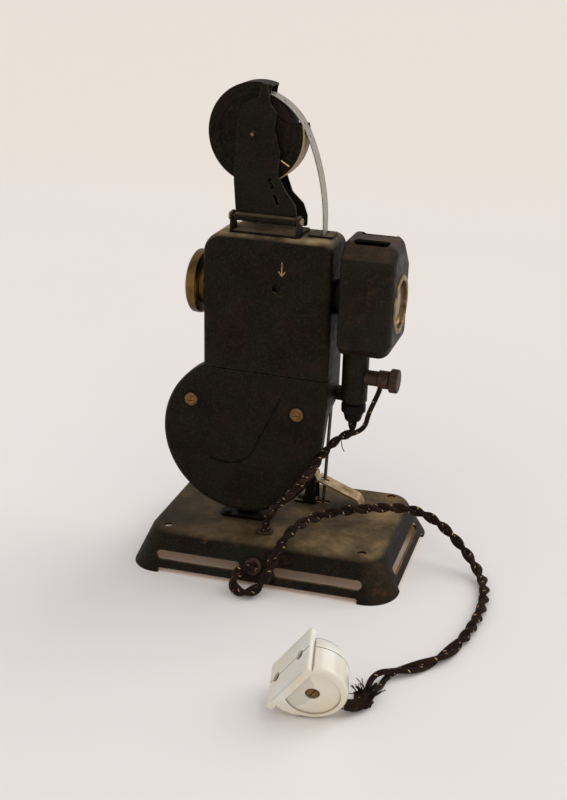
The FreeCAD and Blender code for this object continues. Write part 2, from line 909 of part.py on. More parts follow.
# Crank: shaft, arm and turning handle, straight up at rest
crank_arm_y = casing_back + crank_arm_gap
handle_y = crank_arm_y + crank_arm_thickness + free_gap
handle_pin_r = 1.6


def crank_shaft():
    return turned_y([
        (gear_front - 0.6, 0, 0),
        (crank_arm_y + crank_arm_thickness + 1, 0, 0),
        (crank_arm_y + crank_arm_thickness + 1, crank_shaft_r, 0.6),
        (gear_front - 0.6, crank_shaft_r, 0.4),
    ], drum_x, drum_z)


def crank_arm():
    y0 = crank_arm_y
    y1 = crank_arm_y + crank_arm_thickness
    high = drum_z + crank_throw
    hub_r = crank_shaft_r + 2.6
    bar = [
        (drum_x - hub_r, drum_z, 0),
        (drum_x + hub_r, drum_z, 0),
        (drum_x + crank_arm_r, high, 0),
        (drum_x - crank_arm_r, high, 0),
    ]
    hub = rod_y(y0, y1, drum_x, drum_z, hub_r)
    arm = fuse_all([plate_y(bar, y0, y1), hub, rod_y(y0, y1, drum_x, high, crank_arm_r)])
    arm = arm.cut(rod_y(y0 - 1, y1 + 1, drum_x, drum_z, crank_shaft_r))
    end = handle_y + handle_length
    pin = rod_y(y0, end + free_gap, drum_x, high, handle_pin_r)
    head = rod_y(end + free_gap, end + 1.5, drum_x, high, handle_pin_r + 1.2)
    return fuse_all([arm, pin, head])


def crank_handle():
    end = handle_y + handle_length
    bore = handle_pin_r + run_gap
    return turned_y([
        (handle_y, bore, 0),
        (end, bore, 0),
        (end, handle_r - 1.2, 1),
        (end - handle_length * 0.35, handle_r, 6),
        (handle_y + handle_length * 0.3, handle_r - 1.4, 6),
        (handle_y, handle_r - 0.6, 0.8),
    ], drum_x, drum_z + crank_throw)


# Shutter shaft: pinion, front journal, crank disc and claw pin
claw_throw = film_pitch / 2
yoke_rim = 2.0
yoke_half_width = claw_throw + claw_pin_r + 0.15
yoke_half_height = claw_throw + claw_pin_r + film_pitch / 2 + 0.2
disc_front = plate_back + 0.2
claw_front = disc_front + 0.8 + 0.2
claw_back = claw_front + claw_thickness
shutter_front = claw_back + 0.3
shutter_back = shutter_front + shutter_width


def shutter_shaft():
    x = shutter_at.x
    z = shutter_at.z
    front = rod_y(gear_front - 1, disc_front, x, z, shutter_shaft_r)
    disc = rod_y(disc_front, disc_front + 0.8, x, z, claw_throw + claw_pin_r + 0.2)
    pin = rod_y(disc_front, shutter_front, x, z + claw_throw, claw_pin_r)
    shaft = fuse_all([front, disc, pin])
    pinion = gear(pinion_teeth, shutter_at, pinion_phase, 0, gear_front)
    return shaft.fuse(pinion).removeSplitter()


# Shutter: two end discs joined by two blades, with a stub shaft behind
def shutter_drum():
    x = shutter_at.x
    z = shutter_at.z
    ends = [rod_y(shutter_front, shutter_front + thin_sheet, x, z, shutter_r)]
    ends.append(rod_y(shutter_back - thin_sheet, shutter_back, x, z, shutter_r))
    wall = rod_y(shutter_front, shutter_back, x, z, shutter_r)
    wall = wall.cut(rod_y(shutter_front - 1, shutter_back + 1, x, z, shutter_r - thin_sheet))
    gaps = []
    for side in (-1, 1):
        gap = [
            (x, z, 0),
            (x + side * 2 * shutter_r, z - 2 * shutter_r * 1.19, 0),
            (x + side * 2 * shutter_r, z + 2 * shutter_r * 1.19, 0),
        ]
        gaps.append(plate_y(gap, shutter_front - 1, shutter_back + 1))
    stub = rod_y(shutter_front, casing_back - 0.4, x, z, shutter_shaft_r)
    return fuse_all([wall.cut(gaps), stub] + ends)


# Claw: a yoke round the claw pin, an arm and a finger behind the film
gate_face = film_x - film_thickness / 2
pressure_face = film_x + film_thickness / 2
finger_z = axis_z - claw_finger_drop


def claw():
    x = shutter_at.x
    z = shutter_at.z
    outer_w = 2 * (yoke_half_width + yoke_rim)
    outer_h = 2 * (yoke_half_height + yoke_rim)
    yoke = plate_y(rectangle(x, z, outer_w, outer_h, 2), claw_front, claw_back)
    window = rectangle(x, z, 2 * yoke_half_width, 2 * yoke_half_height, 1)
    yoke = yoke.cut(plate_y(window, claw_front, claw_back))
    end_x = gate_face - gate_thickness - 0.8
    arm = [
        (x + 2, z - yoke_half_height - 1, 0),
        (x + 2, finger_z - 1.5, 2),
        (end_x, finger_z - 1.5, 0),
        (end_x, finger_z + 1.5, 0),
        (x + 6, finger_z + 1.5, 1),
        (x + 6, z - yoke_half_height - 1, 0),
    ]
    arm = plate_y(arm, claw_front, claw_back)
    tab = box(end_x - 1.2, end_x, claw_front, axis_y + 0.8, finger_z - 1.3, finger_z + 1.3)
    tooth = box(end_x - 1.2, gate_face - 0.1, axis_y - 0.8, axis_y + 0.8, finger_z - 0.5, finger_z + 0.5)
    return fuse_all([yoke, arm, tab, tooth])


# Gate: a channelled plate with the picture aperture and the claw's slot
def gate_plate():
    back = gate_face - gate_thickness
    low = axis_z - gate_height / 2
    high = axis_z + gate_height / 2
    plate = box(back, gate_face, plate_back, casing_back - sheet - 0.5, low, high)
    channel = film_width / 2 + 0.2
    half_w = aperture_width / 2
    half_h = aperture_height / 2
    hole = plate_x(rectangle(axis_y, axis_z, aperture_width, aperture_height, 0.8), back, gate_face)
    bevel = Part.makeLoft([
        corner_wire(rectangle(axis_y, axis_z, 2 * half_w + 2.4, 2 * half_h + 2.4, 0), on_yz(back)),
        corner_wire(rectangle(axis_y, axis_z, 2 * half_w - 0.1, 2 * half_h - 0.1, 0), on_yz(gate_face - 0.4)),
    ], True, True)
    slot_h = film_pitch + 2.4
    slot = box(back, gate_face, axis_y - 1.3, axis_y + 1.3, finger_z - slot_h / 2, finger_z + slot_h / 2)
    relief = box(gate_face - 0.3, gate_face, axis_y - channel + 1, axis_y + channel - 1, low, high)
    return plate.cut([hole, bevel, slot, relief])


def pressure_plate():
    low = axis_z - pressure_height / 2
    far = pressure_face + pressure_thickness
    half = film_width / 2
    plate = box(pressure_face, far, axis_y - half, axis_y + half, low, low + pressure_height)
    hole = plate_x(rectangle(axis_y, axis_z, aperture_width + 2, aperture_height + 2, 1), pressure_face, far)
    plate = plate.cut(hole)
    bow = casing_right - sheet - pressure_travel - 0.1
    springs = []
    for side in (-1, 1):
        y = axis_y + side * (half - 1)
        path = [
            (far, low + 1, 0),
            (far, low + 3, 0),
            (bow - 0.4, axis_z - 5, 6),
            (bow - 0.4, axis_z + 5, 6),
            (far, low + pressure_height - 3, 0),
            (far, low + pressure_height - 1, 0),
            (bow, axis_z + 6, 6),
            (bow, axis_z - 6, 6),
        ]
        springs.append(plate_y(path, y - 0.8, y + 0.8))
    return fuse_all([plate] + springs)


# Lens: collar and bush on the casing, sliding tube with its glass, focus ring
collar_end = casing_left - collar_length
ring_back = collar_end - lens_gap
ring_front = ring_back - lens_ring_width
tube_end = casing_left + lens_tail


def lens_bush():
    bore = lens_tube_r + run_gap
    end = tube_end - 3
    return turned_x([
        (collar_end, bore, 0),
        (end, bore, 0),
        (end, bush_outer_r, 0.4),
        (casing_left, bush_outer_r, 0),
        (casing_left, collar_r, 0),
        (collar_end, collar_r, 0.4),
    ], axis_y, axis_z)


def lens_tube():
    return turned_x([
        (ring_front + lens_face_step, lens_bore_r, 0),
        (tube_end, lens_bore_r, 0),
        (tube_end, lens_tube_r, 0.3),
        (ring_front + lens_face_step, lens_tube_r, 0),
    ], axis_y, axis_z)


def lens_glass():
    def element(x, thickness):
        bulge_r = 14.0
        left = Part.makeSphere(bulge_r, V(x + bulge_r - thickness / 2, axis_y, axis_z))
        right = Part.makeSphere(bulge_r, V(x - bulge_r + thickness / 2, axis_y, axis_z))
        return rod_x(x - thickness, x + thickness, axis_y, axis_z, lens_bore_r).common(left).common(right)
    return Part.makeCompound([element(ring_front + 5.5, 3.6), element(tube_end - 3, 3.2)])


def lens_ring():
    bore = lens_tube_r
    skirt_bore = collar_r + free_gap
    skirt_r = skirt_bore + lens_skirt_wall
    skirt_end = ring_back + lens_skirt_length
    return turned_x([
        (ring_front + lens_face_step, bore, 0),
        (ring_back, bore, 0),
        (ring_back, skirt_bore, 0),
        (skirt_end, skirt_bore, 0),
        (skirt_end, skirt_r, 0.3),
        (ring_back, skirt_r, 0.3),
        (ring_back, lens_ring_r - 1.6, 0.6),
        (ring_back - 1.0, lens_ring_r, 0.8),
        (ring_front + 1.6, lens_ring_r, 1.2),
        (ring_front, lens_ring_r - 2.4, 1.0),
        (ring_front, lens_ring_r - 4.2, 0.6),
        (ring_front + lens_face_step + 1.2, bore + 0.6, 0.5),
    ], axis_y, axis_z)


# Lamp house: eight-sided hood with a round window in its end
def lamp_section(inset):
    half = lamp_width / 2 - inset
    top = lamp_top - inset
    low = lamp_bottom + inset
    near = lamp_centre_y - half
    far = lamp_centre_y + half
    lost = inset * (2 - math.sqrt(2))
    top_cut = lamp_top_chamfer - lost
    back_cut = lamp_back_chamfer - lost
    low_cut = lamp_bottom_chamfer - lost
    return [
        (near + low_cut, low, lamp_corner_r),
        (far - low_cut, low, lamp_corner_r),
        (far, low + low_cut, lamp_corner_r),
        (far, top - back_cut, lamp_corner_r),
        (far - back_cut, top, lamp_corner_r),
        (near + top_cut, top, lamp_corner_r),
        (near, top - top_cut, lamp_corner_r),
        (near, low + low_cut, lamp_corner_r),
    ]


def lamp_block(inset):
    right = lamp_right - inset
    left = lamp_left + inset
    block = plate_x(lamp_section(inset), left, right)
    radius = min(lamp_end_round, 1.45 * lamp_bottom_chamfer) - inset
    block = block.makeFillet(radius, edges_where(block, lambda e: lies_at(e, "x", right)))
    return block.makeFillet(lamp_start_round - inset, edges_where(block, lambda e: lies_at(e, "x", left)))


def lamp_house():
    house = lamp_block(0).cut(lamp_block(sheet))
    cuts = [
        rod_x(lamp_left - 1, lamp_left + 5, axis_y, axis_z, neck_r),
        rod_x(lamp_right - 5, lamp_right + 1, axis_y, axis_z, window_r),
        rod_z(lamp_bottom - 1, lamp_bottom + 5, socket_x, axis_y, socket_r),
    ]
    half = lamp_width / 2
    near_y = lamp_centre_y - half + lamp_top_chamfer - vent_drop + vent_width / 2
    far_y = lamp_centre_y + half - lamp_back_chamfer + vent_drop - vent_width / 2
    for y in (near_y, far_y):
        slot = rectangle((lamp_left + lamp_right) / 2, y, vent_length, vent_width, vent_corner_r)
        cuts.append(plate_z(slot, lamp_top - vent_drop - 3 * sheet, lamp_top + 1))
    return house.cut(cuts)


def lamp_neck():
    tube = rod_x(casing_right, lamp_left + sheet, axis_y, axis_z, neck_r)
    lip = rod_x(casing_right, casing_right + 1, axis_y, axis_z, light_hole_r)
    hole = rod_x(casing_right + 1, lamp_left + sheet, axis_y, axis_z, condenser_r)
    return tube.cut([hole, lip])


def condenser():
    bulge_r = 12.5
    edge = 1.2
    sag = bulge_r - math.sqrt(bulge_r**2 - condenser_r**2)
    ball = Part.makeSphere(bulge_r, V(lamp_left - edge - sag + bulge_r, axis_y, axis_z))
    return rod_x(lamp_left - edge - sag, lamp_left, axis_y, axis_z, condenser_r).common(ball)


def window_ring():
    return turned_x([
        (lamp_right - sheet, window_r - 1.4, 0),
        (lamp_right + window_ring_height, window_r - 1.4, 0.5),
        (lamp_right + window_ring_height, window_r + window_ring_width, 0.6),
        (lamp_right, window_r + window_ring_width, 0),
        (lamp_right, window_r, 0),
        (lamp_right - sheet, window_r, 0),
    ], axis_y, axis_z)


# Mirror: a shallow bowl behind the window
def mirror():
    rim_r = window_r + 0.6
    ball_r = (rim_r**2 + mirror_sag**2) / (2 * mirror_sag)
    rim_x = lamp_right - sheet
    centre = V(rim_x - ball_r + mirror_sag - 2.2, axis_y, axis_z)
    bowl = Part.makeSphere(ball_r, centre).cut(Part.makeSphere(ball_r - 1.0, centre))
    bowl = bowl.common(rod_x(rim_x - 8, rim_x, axis_y, axis_z, rim_r))
    holder = rod_x(rim_x - 2.6, rim_x, axis_y, axis_z, rim_r)
    holder = holder.cut(rod_x(rim_x - 3, rim_x, axis_y, axis_z, rim_r - 0.8))
    return bowl.fuse(holder).removeSplitter()


def lamp_bulb():
    base = socket_shoulder_z + 6
    return turned_z([
        (base, 0, 0),
        (axis_z + 9, 0, 0),
        (axis_z + 9, bulb_r, bulb_r * 0.98),
        (lamp_bottom + 6, bulb_r, 1.5),
        (lamp_bottom + 4, socket_r - thin_sheet - 2.6, 0.5),
        (lamp_bottom, socket_r - thin_sheet - 2.6, 0),
        (lamp_bottom, socket_r - thin_sheet, 0),
        (base, socket_r - thin_sheet, 1),
    ], socket_x, axis_y)


# Lamp socket: a tube with a stepped lower end
def lamp_socket():
    top = lamp_bottom + sheet + 1
    return turned_z([
        (cap_top_z - 3, 0, 0),
        (socket_shoulder_z + 2, 0, 0),
        (socket_shoulder_z + 2, socket_r - thin_sheet, 0),
        (top, socket_r - thin_sheet, 0),
        (top, socket_r, 0.3),
        (socket_shoulder_z, socket_r, 1.2),
        (socket_shoulder_z - 1.2, socket_neck_r, 0),
        (cap_top_z - 3, socket_neck_r, 0),
    ], socket_x, axis_y)


def socket_cap():
    low = cap_top_z - cap_height
    return turned_z([
        (low, lamp_lead_d / 2, 0),
        (low + lead_grip, lamp_lead_d / 2, 0),
        (low + lead_grip, socket_neck_r, 0),
        (cap_top_z, socket_neck_r, 0),
        (cap_top_z, cap_r, 1.0),
        (cap_top_z - 4.6, cap_r, 0.6),
        (cap_top_z - 5.6, cap_r - 1.2, 0.5),
        (low, cap_r - 2.6, 2.4),
    ], socket_x, axis_y).cut(rod_z(cap_top_z - 3, cap_top_z + 1, socket_x, axis_y, socket_neck_r))


# Terminal: bush on the socket and knurled knob on its screw
terminal_start = socket_x + socket_r
terminal_knob_x = terminal_start + terminal_bush_length + 0.3


def terminal_bush():
    bush = rod_x(socket_x, terminal_start + terminal_bush_length, axis_y, terminal_z, terminal_bush_r)
    stem = rod_x(terminal_start, terminal_knob_x + terminal_shank_length, axis_y, terminal_z, 1.6)
    socket = rod_z(terminal_z - 9, terminal_z + 9, socket_x, axis_y, socket_r)
    return bush.fuse(stem).removeSplitter().cut(socket)


def terminal_knob():
    x = terminal_knob_x
    disc = x + terminal_shank_length
    end = disc + terminal_disc_width
    knob = turned_x([
        (x, 0, 0),
        (end, 0, 0),
        (end, terminal_disc_r, 0.8),
        (disc, terminal_disc_r, 0.6),
        (disc, terminal_shank_r - 0.8, 0),
        (disc - 0.8, terminal_shank_r, 0),
        (x, terminal_shank_r, 0.5),
    ], axis_y, terminal_z)
    notches = []
    for k in range(12):
        turn = math.radians(k * 30 + 15)
        y = axis_y + (terminal_disc_r + 0.35) * math.cos(turn)
        z = terminal_z + (terminal_disc_r + 0.35) * math.sin(turn)
        notches.append(rod_x(disc - 0.01, end + 1, y, z, 0.75))
    bore = rod_x(x, disc, axis_y, terminal_z, 1.6 + run_gap)
    return knob.cut(notches + [bore])


def clamp_screw():
    x = casing_right + 0.4
    head = rod_x(x, x + clamp_length, clamp_y, clamp_z, clamp_r)
    ribs = []
    for k in range(16):
        turn = math.radians(k * 22.5)
        y = clamp_y + clamp_r * math.cos(turn)
        z = clamp_z + clamp_r * math.sin(turn)
        ribs.append(rod_x(x - 1, x + clamp_length + 1, y, z, 0.45))
    shank = rod_x(casing_right - 6, x + 1, clamp_y, clamp_z, clamp_screw_r - run_gap)
    return head.cut(ribs).fuse(shank).removeSplitter()


# Arm bracket: plate on the casing's top with two ears for the hinge pin
def arm_bracket():
    back = bracket_front + bracket_depth
    base = box(bracket_left, bracket_right, bracket_front, back, casing_top, casing_top + sheet)
    ears = []
    for x in (bracket_left, bracket_right - sheet):
        low = casing_top
        eye = rod_x(x, x + sheet, arm_pin_y, arm_pin_z, ear_r)
        web = [
            (arm_pin_y - ear_r, low, 0),
            (arm_pin_y + ear_r + 3, low, 0),
            (arm_pin_y + ear_r, arm_pin_z, 0),
            (arm_pin_y - ear_r, arm_pin_z, 0),
        ]
        ears += [eye, plate_x(web, x, x + sheet)]
    bracket = fuse_all([base] + ears)
    return bracket.cut(rod_x(bracket_left - 1, bracket_right + 1, arm_pin_y, arm_pin_z, arm_pin_r))


def arm_pin():
    pin = rod_x(bracket_left - 0.4, bracket_right + 0.4, arm_pin_y, arm_pin_z, arm_pin_r)
    left = rod_x(bracket_left - 1.2, bracket_left, arm_pin_y, arm_pin_z, arm_pin_r + 0.8)
    right = rod_x(bracket_right, bracket_right + 1.2, arm_pin_y, arm_pin_z, arm_pin_r + 0.8)
    return fuse_all([pin, left, right])


# Arm: two cheeks, a knuckle round the pin, a web and spacers under the cartridge
cheek_back_y = arm_pin_y + cheek_gap + cheek_thickness
cartridge_at = V(cartridge_x, 0, cartridge_z)


def front_cheek():
    left = bracket_left + sheet + 1
    right = bracket_right - sheet - 1
    return [
        (left, arm_pin_z, 0),
        (right, arm_pin_z, 0),
        (right - 0.6, arm_pin_z + 8, 5),
        (cartridge_x + 18, cartridge_z - 27.6, 6),
        (cartridge_x + 13.4, cartridge_z - 19.6, 5),
        (cartridge_x + 14.6, cartridge_z - 9, 8),
        (cartridge_x + 11.2, cartridge_z + 4.2, 5),
        (cartridge_x + 12.4, cartridge_z + 11.6, 2),
        (cartridge_x + 8.6, cartridge_z + 16, 3),
        (cartridge_x + 7.2, cartridge_z + 25.8, 1),
        (cartridge_x + 3.8, cartridge_z + 25.8, 1),
        (cartridge_x + 2.6, cartridge_z + 19, 3),
        (cartridge_x - 7, cartridge_z + 15, 6),
        (cartridge_x - 9.4, cartridge_z, 12),
        (left - 1.4, cartridge_z - 24, 8),
    ]


def rear_cheek():
    left = bracket_left + sheet + 1
    right = bracket_right - sheet - 0.2
    low = casing_top + sheet + 0.6
    return [
        (left, low, 2),
        (right, low, 1),
        (right, arm_pin_z - 0.4, 4),
        (right - 2.4, arm_pin_z + 6, 4),
        (cartridge_x + 16.4, cartridge_z - 31, 4),
        (cartridge_x + 13, cartridge_z - 22, 6),
        (cartridge_x + 11, cartridge_z + 8, 6),
        (cartridge_x - 7, cartridge_z + 15, 6),
        (cartridge_x - 9.4, cartridge_z, 12),
        (left - 1.4, cartridge_z - 24, 8),
    ]


def film_arm():
    left = bracket_left + sheet + 1
    right = bracket_right - sheet - 1
    front = plate_y(front_cheek(), arm_pin_y, arm_pin_y + cheek_thickness)
    rear = plate_y(rear_cheek(), cheek_back_y, cheek_back_y + cheek_thickness)
    knuckle = rod_x(left, right, arm_pin_y, arm_pin_z, knuckle_r)
    back = cheek_back_y + cheek_thickness
    web = box(left, left + cheek_thickness, arm_pin_y, back, arm_pin_z + 2, arm_pin_z + 14)
    spacers = []
    for turn in spacer_turns:
        at = polar(cartridge_at, cartridge_r + spacer_r, turn)
        spacers.append(rod_y(arm_pin_y, back, at.x, at.z, spacer_r))
    boss = turned_y([
        (arm_pin_y - 0.9, 0, 0),
        (arm_pin_y + cheek_thickness, 0, 0),
        (arm_pin_y + cheek_thickness, 2.2, 0),
        (arm_pin_y - 0.9, 2.2, 0.8),
    ], cartridge_x, cartridge_z)
    arm = fuse_all([front, rear, knuckle, web, boss] + spacers)
    slots = []
    for x, z in arm_slots:
        outline = rectangle(0, 0, arm_slot_width, arm_slot_length, arm_slot_width / 2.01)
        slot = plate_y(outline, arm_pin_y - 1, arm_pin_y + cheek_thickness + 1)
        slot.rotate(V(0, 0, 0), V(0, 1, 0), -arm_slot_lean)
        slot.translate(cartridge_at + V(x, 0, z))
        slots.append(slot)
    bore = rod_x(left - 1, right + 1, arm_pin_y, arm_pin_z, arm_pin_r + run_gap)
    return arm.cut(slots + [bore])


# Cartridge: a drum with a scooped film mouth, a lid in front and the film roll inside
cartridge_front = axis_y - cartridge_width / 2
cartridge_back = axis_y + cartridge_width / 2


def scoop(y0, y1):
    at = polar(cartridge_at, scoop_reach, scoop_turn)
    return rod_y(y0, y1, at.x, at.z, scoop_r)


def cartridge_case():
    x = cartridge_x
    z = cartridge_z
    lid_y = cartridge_front + cartridge_wall
    case = rod_y(lid_y, cartridge_back, x, z, cartridge_r)
    hollow = rod_y(lid_y - 1, cartridge_back - cartridge_wall, x, z, cartridge_r - cartridge_wall)
    case = case.cut(hollow)
    post = rod_y(lid_y, cartridge_back, x, z, roll_bore_r - run_gap)
    low = polar(cartridge_at, 2 * cartridge_r, mouth_low_turn)
    high = polar(cartridge_at, 2 * cartridge_r, mouth_high_turn)
    wedge = [(x, z, 0), (low.x, low.z, 0), (high.x, high.z, 0)]
    wedge = plate_y(wedge, lid_y - 1, cartridge_back - cartridge_wall)
    keep = rod_y(lid_y - 1, cartridge_back, x, z, cartridge_r - 2 * cartridge_wall)
    return case.cut([wedge.cut(keep), scoop(lid_y - 1, cartridge_back + 1)]).fuse(post).removeSplitter()


def cartridge_cover():
    lid_y = cartridge_front + cartridge_wall
    lid = rod_y(cartridge_front, lid_y, cartridge_x, cartridge_z, cartridge_r)
    ring = rod_y(cartridge_front - 0.4, cartridge_front, cartridge_x, cartridge_z, cartridge_r - 4)
    ring = ring.cut(rod_y(cartridge_front - 1, cartridge_front, cartridge_x, cartridge_z, cartridge_r - 6))
    return lid.fuse(ring).removeSplitter().cut(scoop(cartridge_front - 1, lid_y + 1))


def film_roll():
    roll = rod_y(cartridge_front + cartridge_wall + 0.2, cartridge_back - cartridge_wall - 0.2,
                 cartridge_x, cartridge_z, roll_r)
    return roll.cut(rod_y(cartridge_front - 1, cartridge_back + 1, cartridge_x, cartridge_z, roll_bore_r))


# Film strip: straight through the gate, then three tangent bends onto the roll
wrap_r = roll_r + free_gap + film_thickness / 2
short_centre = cartridge_at - polar(V(0, 0, 0), film_short_bend_r - wrap_r, film_exit_turn)
film_run = film_x - short_centre.x
film_rise = math.sqrt((film_run - film_short_bend_r) * (2 * film_long_bend_r - film_short_bend_r - film_run))
film_straight_top = short_centre.z - film_rise
long_centre = V(film_x - film_long_bend_r, 0, film_straight_top)
film_long_turn = math.degrees(math.atan2(film_rise, short_centre.x - long_centre.x))


def film_strip():
    y0 = axis_y - film_width / 2
    last_turn = film_exit_turn + film_wrap_turn
    bends = [
        (long_centre, film_long_bend_r, 0, film_long_turn),
        (short_centre, film_short_bend_r, film_long_turn, film_exit_turn),
        (cartridge_at, wrap_r, film_exit_turn, last_turn),
    ]

    def on_bend(centre, radius, turn):
        return polar(centre, radius, turn) + V(0, y0, 0)

    def side(offset):
        low = V(film_x + offset, y0, film_low_end)
        edges = [Part.LineSegment(low, V(film_x + offset, y0, film_straight_top)).toShape()]
        for centre, radius, start, end in bends:
            stops = [on_bend(centre, radius + offset, turn) for turn in (start, (start + end) / 2, end)]
            edges.append(Part.Arc(*stops).toShape())
        return edges

    half = film_thickness / 2
    low_end = Part.LineSegment(V(film_x - half, y0, film_low_end), V(film_x + half, y0, film_low_end))
    top_end = Part.LineSegment(*[on_bend(cartridge_at, wrap_r + edge, last_turn) for edge in (-half, half)])
    edges = side(half) + side(-half) + [low_end.toShape(), top_end.toShape()]
    return Part.Face(Part.Wire(Part.__sortEdges__(edges))).extrude(V(0, film_width, 0))


def slot_plate():
    x = film_x - 1
    outline = rectangle(x, axis_y, slot_plate_length, slot_plate_width, 1.5)
    plate = plate_z(outline, casing_top, casing_top + slot_plate_thickness)
    return plate.cut(film_slot(casing_top - 1, casing_top + slot_plate_thickness + 1))


# Film door in the casing's back, hung on a pin at the lens side
door_axis_x = door_left - door_lap - door_knuckle_r - 0.4
door_axis_y = casing_back + door_knuckle_r
knuckle_length = 9.0
knuckle_low = door_bottom + door_height / 2 - 1.5 * knuckle_length


def film_door():
    skin = plate_y(door_corners(0, 2), casing_back + 0.2, casing_back + 0.2 + thin_sheet)
    tongue = box(door_axis_x, door_left + 1, casing_back + 0.2, casing_back + 0.2 + thin_sheet,
                 knuckle_low + knuckle_length + 0.2, knuckle_low + 2 * knuckle_length - 0.2)
    knuckle = rod_z(knuckle_low + knuckle_length + 0.2, knuckle_low + 2 * knuckle_length - 0.2,
                    door_axis_x, door_axis_y, door_knuckle_r)
    pull_x = door_left + door_width - 4
    pull_z = door_bottom + door_height / 2
    pull = turned_y([
        (casing_back + 0.2, 0, 0),
        (casing_back + 7, 0, 0),
        (casing_back + 7, 3.0, 0.9),
        (casing_back + 4.6, 3.0, 0.5),
        (casing_back + 4, 1.6, 0),
        (casing_back + 0.2, 1.6, 0),
    ], pull_x, pull_z)
    door = fuse_all([skin, tongue, knuckle, pull])
    top = knuckle_low + 3 * knuckle_length
    return door.cut(rod_z(knuckle_low, top, door_axis_x, door_axis_y, door_pin_r + run_gap))


def door_hinge():
    pieces = []
    for low in (knuckle_low, knuckle_low + 2 * knuckle_length):
        pieces.append(rod_z(low, low + knuckle_length, door_axis_x, door_axis_y, door_knuckle_r))
    leaf = box(door_axis_x - 7, door_axis_x, casing_back, casing_back + thin_sheet,
               knuckle_low, knuckle_low + 3 * knuckle_length)
    gap = box(door_axis_x - door_knuckle_r - 0.4, door_axis_x + 1, casing_back - 1, casing_back + 3,
              knuckle_low + knuckle_length, knuckle_low + 2 * knuckle_length)
    pieces.append(leaf.cut(gap))
    pieces.append(rod_z(knuckle_low, knuckle_low + 3 * knuckle_length, door_axis_x, door_axis_y, door_pin_r))
    return fuse_all(pieces)


# Stud on the casing's back that carries the tilt rod
def rod_stud():
    eye_back = tilt_rod_y + 1.2
    return turned_y([
        (casing_back - sheet - 1, 0, 0),
        (eye_back + 1.4, 0, 0),
        (eye_back + 1.4, stud_r + 1.0, 0.5),
        (eye_back + 0.2, stud_r + 1.0, 0),
        (eye_back + 0.2, stud_r, 0),
        (casing_back + 1, stud_r, 0),
        (casing_back + 1, stud_r + 1.6, 0),
        (casing_back, stud_r + 1.6, 0),
        (casing_back, stud_r, 0),
        (casing_back - sheet - 1, stud_r, 0),
    ], stud_x, stud_z)


# Tilt rod: hangs from the stud, runs through the lever and into the base
def tilted(point):
    turn = math.radians(rest_tilt)
    x = point.x - hinge_x
    z = point.z - hinge_z
    return V(hinge_x + x * math.cos(turn) + z * math.sin(turn), point.y,
             hinge_z - x * math.sin(turn) + z * math.cos(turn))


rod_top = tilted(V(stud_x, tilt_rod_y, stud_z))
rod_low = V(rod_low_x, tilt_rod_y, rod_low_z)


def rod_at(z):
    return rod_top + (rod_low - rod_top) * ((rod_top.z - z) / (rod_top.z - rod_low.z))


def tilt_rod():
    eye = rod_y(tilt_rod_y - 1.2, tilt_rod_y + 1.2, rod_top.x, rod_top.z, rod_eye_r)
    stem = rod(rod_at(rod_top.z - rod_eye_r + 0.6), rod_at(rod_end_z), tilt_rod_r)
    hole = rod_y(tilt_rod_y - 2, tilt_rod_y + 2, rod_top.x, rod_top.z, stud_r + run_gap)
    return eye.fuse(stem).cut(hole).removeSplitter()


# Lock lever: a sloping strip whose slot grips the rod, hung in a small bracket
lever_drop = math.tan(math.radians(lever_slope))
lever_pivot = V(lever_pivot_x, 0, rod_low_z + (rod_low_x - lever_pivot_x) * lever_drop)


def lever_at(shape):
    shape.rotate(V(0, 0, 0), V(0, 1, 0), lever_slope)
    shape.translate(V(lever_pivot.x, tilt_rod_y, lever_pivot.z))
    return shape


def lock_lever():
    half = lever_width / 2
    bore = lever_pin_r + run_gap
    eye_r = lever_pin_r + lever_thickness
    bend = math.radians(40)
    top = lever_thickness / 2
    end_x = lever_length + lever_tip * math.cos(bend)
    drop = lever_tip * math.sin(bend)
    strip = plate_y([
        (0, -top, 0),
        (lever_length - lever_thickness * math.tan(bend / 2), -top, 2),
        (end_x - lever_thickness * math.sin(bend), -top - drop, 0),
        (end_x, top - drop, 0),
        (lever_length, top, 2 + lever_thickness),
        (0, top, 0),
    ], -half, half)
    eye = rod_y(-half, half, 0, 0, eye_r)
    reach = (rod_low_x - lever_pivot_x) / math.cos(math.radians(lever_slope))
    slot = plate_z(rectangle(reach, 0, 2 * tilt_rod_r + 3.2, 2 * tilt_rod_r + 0.4, tilt_rod_r), -4, 4)
    ears = box(-eye_r - 2, eye_r + 2, -lever_ear_y, lever_ear_y, -eye_r - 2, eye_r + 2)
    sides = box(-eye_r - 1, eye_r + 1, -half - 1, half + 1, -eye_r - 1, eye_r + 1).cut(ears)
    lever = fuse_all([strip, eye]).cut([slot, sides])
    return lever_at(lever.cut(rod_y(-half - 1, half + 1, 0, 0, bore)))


lever_ear_y = lever_width / 2 - 1.6


